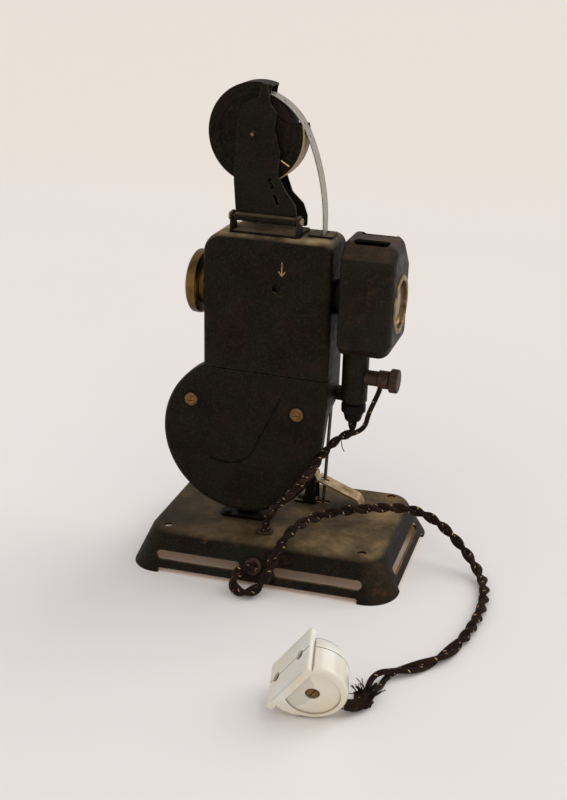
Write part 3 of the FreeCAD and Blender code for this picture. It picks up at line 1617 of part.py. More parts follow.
# Lever bracket: foot on the base, two ears and the lever's pin
def lever_bracket():
    x = lever_pivot.x
    z = lever_pivot.z
    eye_r = lever_pin_r + lever_thickness
    foot_x = x - lever_foot_reach
    foot_end = x + lever_foot_lap
    foot = box(foot_x, foot_end, tilt_rod_y - lever_width / 2, tilt_rod_y + lever_width / 2,
               base_height, base_height + sheet)
    pieces = [foot]
    for side in (-1, 1):
        near = tilt_rod_y + side * (lever_ear_y + 0.2)
        far = tilt_rod_y + side * (lever_ear_y + 0.2 + sheet)
        y0 = min(near, far)
        y1 = max(near, far)
        web = [
            (x - 6, base_height, 0),
            (foot_end, base_height, 0),
            (x + eye_r, z, 0),
            (x - eye_r, z, 0),
        ]
        pieces += [plate_y(web, y0, y1), rod_y(y0, y1, x, z, eye_r)]
    pin_half = lever_ear_y + sheet + 0.6
    pieces.append(rod_y(tilt_rod_y - pin_half, tilt_rod_y + pin_half, x, z, lever_pin_r))
    rivet = rod_z(base_height, base_height + 2 * sheet, foot_x + 3, tilt_rod_y, rivet_shank_r)
    return fuse_all(pieces).cut(rivet)


# Tube along a route: straight runs joined by arcs as large as the runs allow
def route_wire(points, name):
    edges = []
    last = points[0]
    radii = []
    for i in range(1, len(points) - 1):
        here = points[i]
        back = points[i - 1] - here
        ahead = points[i + 1] - here
        run = min(back.Length, ahead.Length)
        half = back.getAngle(ahead) / 2
        cut = 0.45 * run
        radius = cut * math.tan(half)
        radii.append(round(radius, 1))
        back.normalize()
        ahead.normalize()
        start = here + back * cut
        end = here + ahead * cut
        middle = here + (back + ahead).normalize() * (radius / math.sin(half) - radius)
        edges.append(Part.LineSegment(last, start).toShape())
        edges.append(Part.Arc(start, middle, end).toShape())
        last = end
    edges.append(Part.LineSegment(last, points[-1]).toShape())
    wire = Part.Wire(edges)
    print(name, "length", round(wire.Length, 1), "radii", radii)
    return wire


def cord_tube(points, diameter, name):
    wire = route_wire(points, name)
    start = points[0]
    axis = points[1] - points[0]
    section = Part.Wire(Part.makeCircle(diameter / 2, start, axis))
    tube = wire.makePipeShell([section], True, False)
    ideal = math.pi * diameter**2 / 4 * wire.Length
    print(name, "volume over section times length", round(tube.Volume / ideal, 4))
    return tube


# Mains cord: out of the grommet, round the back of the lamp and down to the plug
mains_route = [
    grommet_at - grommet_out * (sheet + grommet_flange_thickness),
    grommet_at + grommet_out * 7,
    V(-10.0, -59.0, 12.2),
    V(-10.7, -64.6, 5.8),
    V(-4.2, -69.5, 3.3),
    V(4.8, -67.4, 5.2),
    V(7.6, -57.2, 8.2),
    V(10.6, -55.0, 16.0),
    V(13.2, -51.0, 24.0),
    V(16.4, -42.0, 30.6),
    V(20.6, -27.6, 32.0),
    V(31.0, -12.6, 31.8),
    V(46.0, -2.6, 31.6),
    V(63.0, 5.0, 31.8),
    V(80.0, 8.8, 30.4),
    V(95.0, 7.2, 23.6),
    V(108.4, 3.2, 12.6),
    V(118.4, -5.0, 4.6),
    V(124.4, -18.4, 3.1),
    V(126.4, -38.0, 3.1),
    V(124.6, -58.4, 3.1),
    V(120.6, -77.0, 3.1),
    V(112.6, -95.0, 3.1),
    V(102.8, -107.2, 3.1),
    V(93.4, -115.4, 3.1),
    V(88.6, -126.6, 3.1),
    V(89.4, -138.4, 3.1),
]


def mains_cord():
    return cord_tube(mains_route, mains_cord_d, "mains_cord")


# Lamp lead: up through the eyelet, past the dish and into the socket's cap
def lamp_lead():
    cap_end = tilted(V(socket_x, axis_y, cap_top_z - cap_height + lead_grip))
    cap_under = tilted(V(socket_x, axis_y, cap_top_z - cap_height - lead_drop))
    route = [
        V(eyelet_x, eyelet_y, base_height - sheet - 0.8),
        V(eyelet_x, eyelet_y, base_height + 5),
        V(2.7, -32.3, 37.3),
        V(11.4, -33.4, 47.6),
        V(20.7, -35.4, 57.7),
        V(28.5, -30.5, 65.5),
        V(33.1, -19.9, 68.9),
        V(39.0, -11.0, 74.4),
        cap_under,
        cap_end,
    ]
    return cord_tube(route, lamp_lead_d, "lamp_lead")


# Porcelain plug: half drum with a flat face, split in two along its length
def plug_place(shape):
    out = plug_long.cross(plug_across).normalize()
    long_axis = V(plug_long).normalize()
    across = out.cross(long_axis)
    shape.Placement = FreeCAD.Placement(FreeCAD.Matrix(
        long_axis.x, across.x, out.x, plug_face.x,
        long_axis.y, across.y, out.y, plug_face.y,
        long_axis.z, across.z, out.z, plug_face.z,
    ))
    return shape


plug_outward = plug_long.cross(plug_across).normalize()
plug_entry_y = 4.6
plug_entry_depth = 3.0
plug_entry = (plug_face + plug_long * plug_drum_shift + plug_across * plug_entry_y
              - plug_outward * (plug_drum_back + plug_drum_r - plug_entry_depth))
mains_route += [plug_entry - plug_outward * 8.5, plug_entry]


split_y = plug_split * plug_depth


# Round body of the plug: crowned at one end, with a small rim at the other
def plug_drum(shift, back):
    return turned_y([
        (0, 0, 0),
        (plug_depth, 0, 0),
        (plug_depth, plug_drum_r, plug_crown_r),
        (0, plug_drum_r, plug_rim_r),
    ], shift, -back)


def plug_blank():
    half = plug_length / 2
    plate = box(-half, half, 0, plug_depth, -plug_plate, 0)
    plate = plate.makeFillet(1.2, edges_where(plate, lambda e: not lies_at(e, "z", -plug_plate)))
    before = box(-plug_length, plug_length, -1, plug_depth + 1, -plug_plate, plug_length)
    drum = plug_drum(plug_drum_shift, plug_drum_back).fuse(plug_drum(plug_shoulder_shift, plug_shoulder_back))
    blank = plate.fuse(drum.cut(before)).removeSplitter()
    middle = (plug_drum_shift, -plug_drum_back)
    low = split_y - plug_seam / 2
    high = split_y + plug_seam / 2
    ring = rod_y(low, high, *middle, plug_length).cut(rod_y(low, high, *middle, plug_drum_r - plug_seam))
    dish = rod_y(-1, plug_dish_depth, *middle, plug_dish_r)
    cuts = [
        dish.cut(box(-plug_length, plug_length, -1, 1, -plug_plate - plug_dish_depth, plug_length)),
        ring.cut(before),
        box(-plug_length, plug_length, low, high, -plug_seam, 1),
        box(-half - 1, plug_notch - half, split_y - plug_notch / 2, split_y + plug_notch / 2, -plug_notch, 1),
        rod_y(-1, plug_recess_depth, *middle, plug_recess_r),
        rod_y(0, plug_depth - plug_screw_end, *middle, plug_screw_r),
        rod_z(-80, plug_entry_depth - plug_drum_back - plug_drum_r, plug_drum_shift, plug_entry_y, mains_cord_d / 2),
    ]
    return blank.cut(cuts + [rod_z(-plug_hole_depth, 1, x, split_y, plug_hole_r) for x in plug_hole_places()])


def plug_hole_places():
    return [plug_slot_shift + side * plug_slot_span / 2 for side in (-1, 1)]


def plug_front():
    return plug_place(plug_blank().common(box(-60, 60, -10, split_y, -60, 20)))


def plug_back():
    return plug_place(plug_blank().common(box(-60, 60, split_y, 60, -60, 20)))


# Contacts: two brass sleeves held between the plug's halves
def plug_contacts():
    outer_r = plug_hole_r - run_gap
    sleeves = []
    for x in plug_hole_places():
        sleeve = rod_z(-plug_hole_depth, -plug_contact_sink, x, split_y, outer_r)
        sleeves.append(sleeve.cut(rod_z(1 - plug_hole_depth, 1, x, split_y, outer_r - plug_contact_wall)))
    return plug_place(Part.makeCompound(sleeves))


def plug_screw():
    face = plug_recess_depth - 1.5
    head_r = plug_recess_r - 0.6
    screw = turned_y([
        (face, 0, 0),
        (plug_depth - plug_screw_end, 0, 0),
        (plug_depth - plug_screw_end, plug_screw_r, 0),
        (plug_recess_depth, plug_screw_r, 0),
        (plug_recess_depth, head_r, 0),
        (face, head_r, 0.6),
    ], plug_drum_shift, -plug_drum_back)
    slot = box(plug_drum_shift - 4, plug_drum_shift + 4, 0, face + 0.7, -plug_drum_back - 0.35, 0.35 - plug_drum_back)
    return plug_place(screw.cut(slot))


row_parts = [
    base_pan, mains_grommet, lead_eyelet, resistor, resistor_clips, tilt_bracket, base_rivets,
    tilt_pin, lever_bracket, lock_lever, tilt_rod, mains_cord, lamp_lead,
    plug_front, plug_back, plug_contacts, plug_screw,
]
head_parts = [
    body_shell, drum_cover, cover_screws, mechanism_plate, plate_studs, shaft_bushes, tilt_lugs,
    rod_stud, crank_shaft, crank_gear, crank_arm, crank_handle, idler_gear, shutter_shaft,
    shutter_drum, claw, gate_plate, pressure_plate, lens_bush, lens_tube, lens_glass, lens_ring,
    lamp_house, lamp_neck, condenser, window_ring, mirror, lamp_bulb, lamp_socket, socket_cap,
    terminal_bush, terminal_knob, clamp_screw, arm_bracket, arm_pin, film_arm, cartridge_case,
    cartridge_cover, film_roll, film_strip, slot_plate, film_door, door_hinge,
]


def export(part, tilt):
    shape = part()
    if tilt:
        shape.rotate(V(hinge_x, 0, hinge_z), V(0, 1, 0), rest_tilt)
    shape.exportStep("parts/" + part.__name__ + ".step")


os.makedirs("parts", exist_ok=True)
for part in row_parts:
    export(part, False)
for part in head_parts:
    export(part, True)
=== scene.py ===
import math

import bpy
import numpy as np
from mathutils import Matrix, Vector


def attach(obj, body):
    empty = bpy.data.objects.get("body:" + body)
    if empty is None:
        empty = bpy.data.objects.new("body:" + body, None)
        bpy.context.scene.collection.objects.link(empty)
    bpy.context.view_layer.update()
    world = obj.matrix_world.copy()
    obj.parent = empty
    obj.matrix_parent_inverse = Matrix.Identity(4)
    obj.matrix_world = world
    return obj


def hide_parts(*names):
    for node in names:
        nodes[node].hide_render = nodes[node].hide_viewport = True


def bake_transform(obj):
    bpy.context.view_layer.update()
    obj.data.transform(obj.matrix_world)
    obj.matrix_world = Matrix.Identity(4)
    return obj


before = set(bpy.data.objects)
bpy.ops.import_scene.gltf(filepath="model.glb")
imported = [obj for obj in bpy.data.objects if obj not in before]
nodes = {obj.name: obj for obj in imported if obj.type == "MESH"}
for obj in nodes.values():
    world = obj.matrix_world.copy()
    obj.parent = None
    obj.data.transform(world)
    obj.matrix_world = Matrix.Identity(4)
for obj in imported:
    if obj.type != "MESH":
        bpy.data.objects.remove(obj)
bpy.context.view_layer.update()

# Home cine projector on a pressed base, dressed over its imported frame.
# Lengths are metres in the row frame: +Z up, lens towards -X, crank on +Y.
# Head-frame points are those of the upright head, before its tilt at rest.

MM = 0.001
TURN = 2 * math.pi

# Camera, solved on the base's corners
CAMERA_AT = (0.1909, -0.5741, 0.3400)
CAMERA_AZIMUTH = 18.25
CAMERA_ELEVATION = 22.16
CAMERA_ROLL = -0.72
CAMERA_LENS = 51.385
LONG_SENSOR = 36.0

# Floor, in metres from its middle to its edge, and the sky's strength
FLOOR_HALF = 12.0
WORLD_STRENGTH = 0.62

# Head tilt at rest, about the hinge on the base: its x and z
REST_TILT = math.radians(2.2)
HINGE = (-0.0185, 0.030)

# Head-frame places, in millimetres
CASING_FACE_Y = -25.0
FILM_X = 22.0
FILM_Y = -8.0
ROLL_AT = (-15.3, 246.0)
OIL_HOLE_AT = (1.2, 168.3)

# Film for home projectors
FILM_WIDTH = 9.5
FILM_HALF_THICK = 0.09
FRAME_PITCH = 7.54 * MM


def tilted(points):
    """Head-frame points turned by the rest tilt about +Y through the hinge."""
    p = np.asarray(points, float)
    x = p[..., 0] - HINGE[0]
    z = p[..., 2] - HINGE[1]
    c, s = math.cos(REST_TILT), math.sin(REST_TILT)
    return np.stack([HINGE[0] + x * c + z * s, p[..., 1], HINGE[1] - x * s + z * c], axis=-1)


# Mesh making

def new_piece(name, points, faces, body, smooth=True, uv=None):
    """A mesh object from an (n, 3) array of points and a list or array of faces."""
    mesh = bpy.data.meshes.new(name)
    faces = faces if isinstance(faces, list) else faces.tolist()
    mesh.from_pydata(np.asarray(points).reshape(-1, 3).tolist(), [], faces)
    mesh.update()
    if smooth:
        mesh.polygons.foreach_set("use_smooth", np.ones(len(mesh.polygons), bool))
    if uv is not None:
        layer = mesh.uv_layers.new(name="UVMap")
        corner = np.zeros(len(mesh.loops), int)
        mesh.loops.foreach_get("vertex_index", corner)
        layer.data.foreach_set("uv", np.asarray(uv)[corner].ravel())
    piece = bpy.data.objects.new(name, mesh)
    bpy.context.scene.collection.objects.link(piece)
    if body:
        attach(piece, body)
    return piece


def grid_faces(rows, columns, wrap=False):
    """Quads of a rows by columns grid of points; wrap joins the last column to the first."""
    row = np.arange(rows - 1)[:, None] * columns
    j = np.arange(columns if wrap else columns - 1)[None, :]
    k = (j + 1) % columns
    return np.stack([row + j, row + k, row + columns + k, row + columns + j], -1).reshape(-1, 4)


def fan_faces(first, count, hub, inward=False):
    """Triangles from a ring of points, numbered from first, to its hub; inward turns them over."""
    j = np.arange(count)
    k = (j + 1) % count
    ring = (first + k, first + j) if inward else (first + j, first + k)
    return np.stack([*ring, np.full(count, hub)], -1)


def round_ring(normal, binormal, turn):
    """N cos t + B sin t for each point of a path and each t."""
    cosine, sine = np.cos(turn)[None, :, None], np.sin(turn)[None, :, None]
    return normal[:, None, :] * cosine + binormal[:, None, :] * sine


def frames_along(path):
    """Tangent, normal and binormal at each point of a path, the normal carried along without twist."""
    tangent = np.gradient(path, axis=0)
    tangent /= np.linalg.norm(tangent, axis=1, keepdims=True)
    guess = np.array([0.0, 0.0, 1.0]) if abs(tangent[0, 2]) < 0.8 else np.array([1.0, 0.0, 0.0])
    normals = np.zeros_like(path)
    for i, t in enumerate(tangent):
        guess = guess - t * (guess @ t)
        guess /= np.linalg.norm(guess)
        normals[i] = guess
    return tangent, normals, np.cross(tangent, normals)


def arc_length(path):
    """Distance along a path at each of its points."""
    return np.concatenate([[0.0], np.cumsum(np.linalg.norm(np.diff(path, axis=0), axis=1))])


def resampled(path, step):
    """The same line with points a fixed step apart."""
    along = arc_length(path)
    count = max(2, int(round(along[-1] / step)) + 1)
    at = np.linspace(0.0, along[-1], count)
    return np.stack([np.interp(at, along, path[:, k]) for k in range(3)], axis=1)


def tube_arrays(path, radius, sides):
    """A round tube: path(s) + radius(s) (N cos t + B sin t), its two ends closed by a centre point."""
    _, normal, binormal = frames_along(path)
    turn = np.linspace(0.0, TURN, sides, endpoint=False)
    r = np.broadcast_to(np.asarray(radius, float), (len(path),))[:, None, None]
    points = (path[:, None, :] + r * round_ring(normal, binormal, turn)).reshape(-1, 3)
    count = len(points)
    faces = [grid_faces(len(path), sides, wrap=True), fan_faces(0, sides, count, inward=True),
             fan_faces(count - sides, sides, count + 1)]
    points = np.vstack([points, path[0], path[-1]])
    along = np.repeat(arc_length(path), sides)
    around = np.tile(turn / TURN, len(path))
    uv = np.vstack([np.stack([along, around], -1), [[along[0], 0.5], [along[-1], 0.5]]])
    return points, faces, uv


def joined_tubes(name, tubes, body):
    """Several tubes (path, radius, sides) in one piece."""
    points, faces, uvs, base = [], [], [], 0
    for path, radius, sides in tubes:
        at, groups, uv = tube_arrays(path, radius, sides)
        for group in groups:
            faces += (group + base).tolist()
        points.append(at)
        uvs.append(uv)
        base += len(at)
    return new_piece(name, np.vstack(points), faces, body, uv=np.vstack(uvs))


# Cords

def spline_line(name, route):
    """The line of a NURBS spline with the route's points as control points, read back as an array."""
    curve = bpy.data.curves.new(name, "CURVE")
    curve.dimensions = "3D"
    curve.resolution_u = 24
    spline = curve.splines.new("NURBS")
    spline.points.add(len(route) - 1)
    for point, at in zip(spline.points, route):
        point.co = (*at, 1.0)
    spline.order_u = 3
    spline.use_endpoint_u = True
    holder = bpy.data.objects.new(name, curve)
    bpy.context.scene.collection.objects.link(holder)
    bpy.context.view_layer.update()
    mesh = bpy.data.meshes.new_from_object(holder.evaluated_get(bpy.context.evaluated_depsgraph_get()))
    line = np.zeros(len(mesh.vertices) * 3)
    mesh.vertices.foreach_get("co", line)
    bpy.data.objects.remove(holder)
    bpy.data.curves.remove(curve)
    bpy.data.meshes.remove(mesh)
    return line.reshape(-1, 3)


def strand_lines(line, offset, turn, count=2):
    """Helices round a line: line(s) + offset(s) (N cos a + B sin a), a = turn(s) + 2 pi share."""
    _, normal, binormal = frames_along(line)
    reach = np.broadcast_to(np.asarray(offset, float), len(line))[:, None]
    lines = []
    for k in range(count):
        a = (turn + TURN * k / count)[:, None]
        lines.append(line + reach * (normal * np.cos(a) + binormal * np.sin(a)))
    return lines


def hump(along, centre, width):
    """1 at the centre, falling to 0 at half a width on each side as a squared cosine."""
    share = np.clip((along - centre) / width, -0.5, 0.5)
    return np.cos(math.pi * share) ** 2


# Diameters, lays and sampling of the cords
MAINS_D = 6.0 * MM
MAINS_PITCH = 20 * MM
LEAD_D = 5.0 * MM
LEAD_PITCH = 16 * MM
LEAD_FIRST_TURN = 0.6
WIRE_D = 2.8 * MM
STRAND_SIDES = 12
LINE_STEP = 1.0 * MM

# The mains cord near its plug, measured back from the plug: slower lay, parted strands, frayed cotton
SLOW_FROM_END = 90 * MM
SLOW_PITCH = 50 * MM
CROSSED_FROM_END = 47 * MM
PARTED_FROM_END = 35 * MM
PARTED_LENGTH = 22 * MM
PARTED_EXTRA = 0.9
FRAY_LENGTH = 23 * MM

# Base pan and the grommet in its leaning front skirt, in millimetres
BASE_WIDTH = 104.7
BASE_HEIGHT = 22.8
BASE_INSET = 10.8
GROMMET_X = -2.0
GROMMET_Z = 10.6

skirt_lean = math.atan2(BASE_INSET, BASE_HEIGHT)
skirt_y = -(BASE_WIDTH / 2 - BASE_INSET * GROMMET_Z / BASE_HEIGHT)
grommet_out = np.array([0.0, -math.cos(skirt_lean), math.sin(skirt_lean)])
grommet_at = np.array([GROMMET_X, skirt_y, GROMMET_Z]) * MM

# Plug: its long side, its thickness and the way its pins face, and where the cord goes in
plug_long = np.array([0.610, -0.037, 0.791])
plug_across = np.array([-0.205, 0.957, 0.203])
plug_out = np.cross(plug_long, plug_across)
plug_out /= np.linalg.norm(plug_out)
plug_face = np.array([53.8, -160.3, 19.25]) * MM
plug_entry = plug_face + (plug_long * 4.4 + plug_across * 4.6 - plug_out * 25.4) * MM

mains_route = [
    grommet_at - grommet_out * 2.7 * MM,
    grommet_at + grommet_out * 7 * MM,
    (-0.0088, -0.0566, 0.0112),
    (-0.0102, -0.0606, 0.0052),
    (-0.0045, -0.0645, 0.0032),
    (0.0042, -0.0632, 0.0048),
    (0.0080, -0.0572, 0.0084),
    (0.0106, -0.0550, 0.0160),
    (0.0132, -0.0510, 0.0240),
    (0.0164, -0.0420, 0.0306),
    (0.0206, -0.0276, 0.0320),
    (0.0310, -0.0126, 0.0318),
    (0.0460, -0.0026, 0.0316),
    (0.0630, 0.0050, 0.0318),
    (0.0800, 0.0088, 0.0304),
    (0.0950, 0.0072, 0.0236),
    (0.1084, 0.0032, 0.0126),
    (0.1184, -0.0050, 0.0046),
    (0.1244, -0.0184, 0.0031),
    (0.1264, -0.0380, 0.0031),
    (0.1246, -0.0584, 0.0031),
    (0.1206, -0.0770, 0.0031),
    (0.1126, -0.0950, 0.0031),
    (0.1024, -0.1052, 0.0032),
    (0.0930, -0.1110, 0.0033),
    (0.0868, -0.1220, 0.0034),
    (0.0856, -0.1360, 0.0034),
    plug_entry - plug_out * 8.5 * MM,
    plug_entry,
]

# Lamp lead, from the eyelet up into the socket's cap
cap_end = tilted((0.0423, -0.008, 0.0958))
cap_under = tilted((0.0423, -0.008, 0.0853))
lead_route = [
    (-0.0014, -0.0280, 0.0208),
    (-0.0014, -0.0280, 0.0278),
    (0.0027, -0.0323, 0.0373),
    (0.0114, -0.0334, 0.0476),
    (0.0207, -0.0354, 0.0577),
    (0.0275, -0.0310, 0.0670),
    (0.0318, -0.0205, 0.0738),
    (0.0375, -0.0130, 0.0800),
    (0.0425, -0.0090, 0.0815),
    cap_under,
    cap_end,
]


# Materials

class Finish:
    """A procedural material under construction: small helpers that add and join nodes."""

    def __init__(self, name):
        self.material = bpy.data.materials.new(name)
        self.material.use_nodes = True
        self.tree = self.material.node_tree
        self.tree.nodes.clear()
        self.output = self.tree.nodes.new("ShaderNodeOutputMaterial")
        self.place = None

    def add(self, kind, settings=(), **sockets):
        """A node of a kind, its own settings set and its sockets fed by name, with _ for a space."""
        node = self.tree.nodes.new("ShaderNode" + kind)
        for key, value in dict(settings).items():
            setattr(node, key, value)
        for key, value in sockets.items():
            self.put(node.inputs[key.replace("_", " ")], value)
        return node

    def put(self, socket, value):
        """Feeds a socket from another socket, or sets it to a number, vector or colour."""
        if isinstance(value, bpy.types.NodeSocket):
            self.tree.links.new(value, socket)
        elif isinstance(value, (tuple, list)) and len(value) == 3 and socket.type == "RGBA":
            socket.default_value = (*value, 1.0)
        else:
            socket.default_value = value

    def coords(self, which="Object"):
        """Place on the piece: Object in metres, or UV."""
        if self.place is None:
            self.place = self.add("TexCoord")
        return self.place.outputs[which]

    def stretched(self, scale):
        """Object place scaled on each axis."""
        return self.add("Mapping", Vector=self.coords(), Scale=scale).outputs[0]

    def noise(self, size, detail=3.0, rough=0.55, vector=None):
        """Soft clouds about the given size, from 0 to 1."""
        node = self.add("TexNoise", Scale=1.0 / size, Detail=detail, Roughness=rough)
        self.put(node.inputs["Vector"], self.coords() if vector is None else vector)
        return node.outputs["Fac"]

    def cells(self, size):
        """Distance to the nearest of points strewn about a size apart."""
        return self.add("TexVoronoi", Scale=1.0 / size, Vector=self.coords()).outputs["Distance"]

    def span(self, value, low, high, to_low=0.0, to_high=1.0):
        """A value from low to high, stretched to run from to_low to to_high and held there."""
        node = self.add("MapRange")
        for index, entry in enumerate((value, low, high, to_low, to_high)):
            self.put(node.inputs[index], entry)
        return node.outputs[0]

    def sums(self, operation, a, b=0.5, c=0.0):
        """One step of arithmetic on up to three values."""
        node = self.add("Math", {"operation": operation})
        for index, entry in enumerate((a, b, c)):
            self.put(node.inputs[index], entry)
        return node.outputs[0]

    def times(self, a, b):
        return self.sums("MULTIPLY", a, b)

    def off_middle(self, value):
        """How far a share lies from one half."""
        return self.sums("ABSOLUTE", self.sums("SUBTRACT", value, 0.5))

    def mix(self, share, a, b):
        """Colour a where the share is 0 and b where it is 1."""
        node = self.add("Mix", {"data_type": "RGBA"})
        self.put(node.inputs[0], share)
        self.put(node.inputs[6], a)
        self.put(node.inputs[7], b)
        return node.outputs[2]

    def facing(self, name):
        """How far the surface faces along an axis, from -1 to 1."""
        return self.add("SeparateXYZ", Vector=self.add("NewGeometry").outputs["Normal"]).outputs[name]

    def hollow_shade(self, reach, low=0.45, high=0.9):
        """1 in grooves and seams about as deep as the reach, 0 on open faces: a mask for painted shade."""
        node = self.add("AmbientOcclusion", {"samples": 8}, Distance=reach)
        return self.span(node.outputs["AO"], low, high, 1.0, 0.0)

    def vectors(self, operation, *entries):
        """One step of arithmetic on vectors; gives the node's outputs."""
        node = self.add("VectorMath", {"operation": operation})
        for index, entry in enumerate(entries):
            self.put(node.inputs[index], entry)
        return node.outputs

    def near_axis(self, at, direction, low, high):
        """1 closer than low to the line through a point, 0 farther than high."""
        off = self.vectors("SUBTRACT", self.coords(), tuple(at))["Vector"]
        cross = self.vectors("CROSS_PRODUCT", off, tuple(direction))["Vector"]
        return self.span(self.vectors("LENGTH", cross)["Value"], low, high, 1.0, 0.0)

    def along_line(self, at, direction):
        """Distance along a line from a point on it."""
        off = self.vectors("SUBTRACT", self.coords(), tuple(at))["Vector"]
        return self.vectors("DOT_PRODUCT", off, tuple(direction))["Value"]

    def worn_edge(self, radius, low=0.02, high=0.14):
        """1 on edges and corners tighter than about the radius, 0 on flats."""
        round_off = self.add("Bevel", {"samples": 6}, Radius=radius).outputs[0]
        sharp = self.add("NewGeometry").outputs["Normal"]
        alike = self.vectors("DOT_PRODUCT", round_off, sharp)["Value"]
        return self.span(self.sums("SUBTRACT", 1.0, alike), low, high)

    def axis(self, name, which="Object"):
        """One coordinate of the place on the piece."""
        return self.add("SeparateXYZ", Vector=self.coords(which)).outputs[name]

    def bump(self, height, distance, strength=1.0, under=None):
        """Relief from a height, laid over the relief under it."""
        node = self.add("Bump", Height=height, Distance=distance, Strength=strength)
        if under is not None:
            self.put(node.inputs["Normal"], under)
        return node.outputs[0]

    def shader(self, **sockets):
        """The surface itself, from its sockets."""
        self.put(self.output.inputs["Surface"], self.add("BsdfPrincipled", **sockets).outputs[0])


# Colours, linear
PAINT = (0.0056, 0.0034, 0.0017)
PAINT_OLIVE = (0.0095, 0.0080, 0.0038)
PAINT_RED = (0.0150, 0.0068, 0.0042)
PAINT_RUBBED = (0.058, 0.042, 0.024)
DUST = (0.270, 0.185, 0.098)
RUST = (0.135, 0.052, 0.018)
# Near black: painted shade in grooves and seams, and an oil stain with painted shade at the oil hole
SHADE_AND_OIL_BLACK = (0.0015, 0.0011, 0.0008)
BASE_DUST = (0.330, 0.215, 0.105)
CASE_DUST = (0.460, 0.320, 0.165)
LAMP_DUST = (0.210, 0.120, 0.072)
BAND = (0.42, 0.29, 0.165)
# Pale tan of the base pan's inner faces: painted light, as if light came in through the slots
PAINTED_INSIDE_LIGHT = (1.0, 0.65, 0.32)
BRASS = (0.190, 0.108, 0.034)
BRASS_DARK = (0.062, 0.032, 0.011)
STEEL = (0.16, 0.145, 0.12)


def enamel(name, dust=0.5, dust_from=0.45, rust=0.15, roughness=0.42, wear=0.5, shine=0.07, lit_inside=None,
           x_fade=None, powder=DUST, band=None, oil_and_shade_at=None, streaks=0.0):
    """Black crackle paint with rubbed edges and rust in patches, and painted shade in its grooves and seams.

    dust: how much powder lies on what faces up by more than dust_from; streaks: how uneven it lies;
    x_fade: (centre, reach, low), the share of the powder colour falling to low towards -X, so the top is
    darker towards -X; lit_inside: pale colour of what faces down, painted light inside the base;
    band: a function that says where the paint is off; oil_and_shade_at: a point on a line along Y round which
    the paint is near black, an oil stain and painted shade in the hole.
    """
    f = Finish(name)
    patches = f.noise(26 * MM, 4)
    fine = f.noise(4.5 * MM, 5, 0.65)
    speckle = f.noise(1.1 * MM, 3, 0.7)
    colour = f.mix(f.span(patches, 0.40, 0.60), PAINT_OLIVE, PAINT)
    colour = f.mix(f.span(f.noise(15 * MM, 3), 0.54, 0.72), colour, PAINT_RED)
    colour = f.mix(f.span(speckle, 0.50, 0.74, 0.0, 0.34), colour, PAINT_RUBBED)
    rusty = f.times(f.span(f.noise(9 * MM, 6, 0.7), 0.56, 0.72), f.span(patches, 0.35, 0.7))
    colour = f.mix(f.times(rusty, rust), colour, RUST)
    lying = f.span(f.facing("Z"), dust_from, 1.0)
    settled = f.times(lying, f.span(f.sums("MULTIPLY_ADD", fine, 0.45, patches), 0.40, 0.95))
    settled = f.times(settled, dust)
    if streaks:
        settled = f.times(settled, f.span(f.noise(17 * MM, 6, 0.62), 0.40, 0.60, 1.0 - streaks, 1.0))
    # Darker towards -X: the lighter top colour fades to low there
    if x_fade is not None:
        centre, reach, low = x_fade
        settled = f.times(settled, f.span(f.axis("X"), centre - reach, centre + reach, low, 1.0))
    colour = f.mix(settled, colour, powder)
    # Painted shade: grooves and seams turned near black, from ambient occlusion
    colour = f.mix(f.hollow_shade(2.2 * MM, 0.55, 0.96), colour, SHADE_AND_OIL_BLACK)
    rubbed = f.times(f.worn_edge(1.2 * MM), f.span(fine, 0.42, 0.66, 0.0, wear))
    colour = f.mix(rubbed, colour, PAINT_RUBBED)
    rough = f.span(f.sums("ADD", fine, settled), 0.3, 1.3, roughness - 0.06, 0.9)
    if band is not None:
        colour = f.mix(band(f), colour, BAND)
    # Oil stain and painted shade: near black in the oil hole and just round it
    if oil_and_shade_at is not None:
        colour = f.mix(f.near_axis(oil_and_shade_at, (0.0, 1.0, 0.0), 2.1 * MM, 2.5 * MM), colour, SHADE_AND_OIL_BLACK)
    # Painted light: faces that look down, inside the pan, turn pale tan
    if lit_inside is not None:
        facing_down = f.span(f.facing("Z"), -0.08, -0.16)
        colour = f.mix(facing_down, colour, lit_inside)
    normal = f.bump(f.cells(1.1 * MM), 0.30 * MM, 0.75)
    normal = f.bump(f.sums("ADD", fine, speckle), 0.22 * MM, 0.35, normal)
    f.shader(Base_Color=colour, Roughness=rough, Normal=normal, Specular_IOR_Level=shine)
    return f.material


def tarnished(name, bright, dark, rust=0.3, roughness=0.42, size=6 * MM, metal=1.0):
    """Bare metal: bright and dark patches with rust spots and fine pitting."""
    f = Finish(name)
    patches = f.noise(size, 5, 0.6)
    fine = f.noise(1.6 * MM, 4, 0.6)
    colour = f.mix(f.span(patches, 0.35, 0.68), bright, dark)
    spots = f.times(f.span(f.noise(3.2 * MM, 6, 0.7), 0.5, 0.66), rust)
    colour = f.mix(spots, colour, RUST)
    colour = f.mix(f.times(f.worn_edge(0.8 * MM), f.span(fine, 0.3, 0.6, 0.1, 0.8)), colour, bright)
    rough = f.span(f.sums("ADD", fine, spots), 0.3, 1.4, roughness - 0.08, 0.95)
    metallic = f.span(spots, 0.0, 0.8, metal, 0.1)
    normal = f.bump(f.sums("ADD", fine, patches), 0.18 * MM, 0.45)
    f.shader(Base_Color=colour, Roughness=rough, Metallic=metallic, Normal=normal)
    return f.material


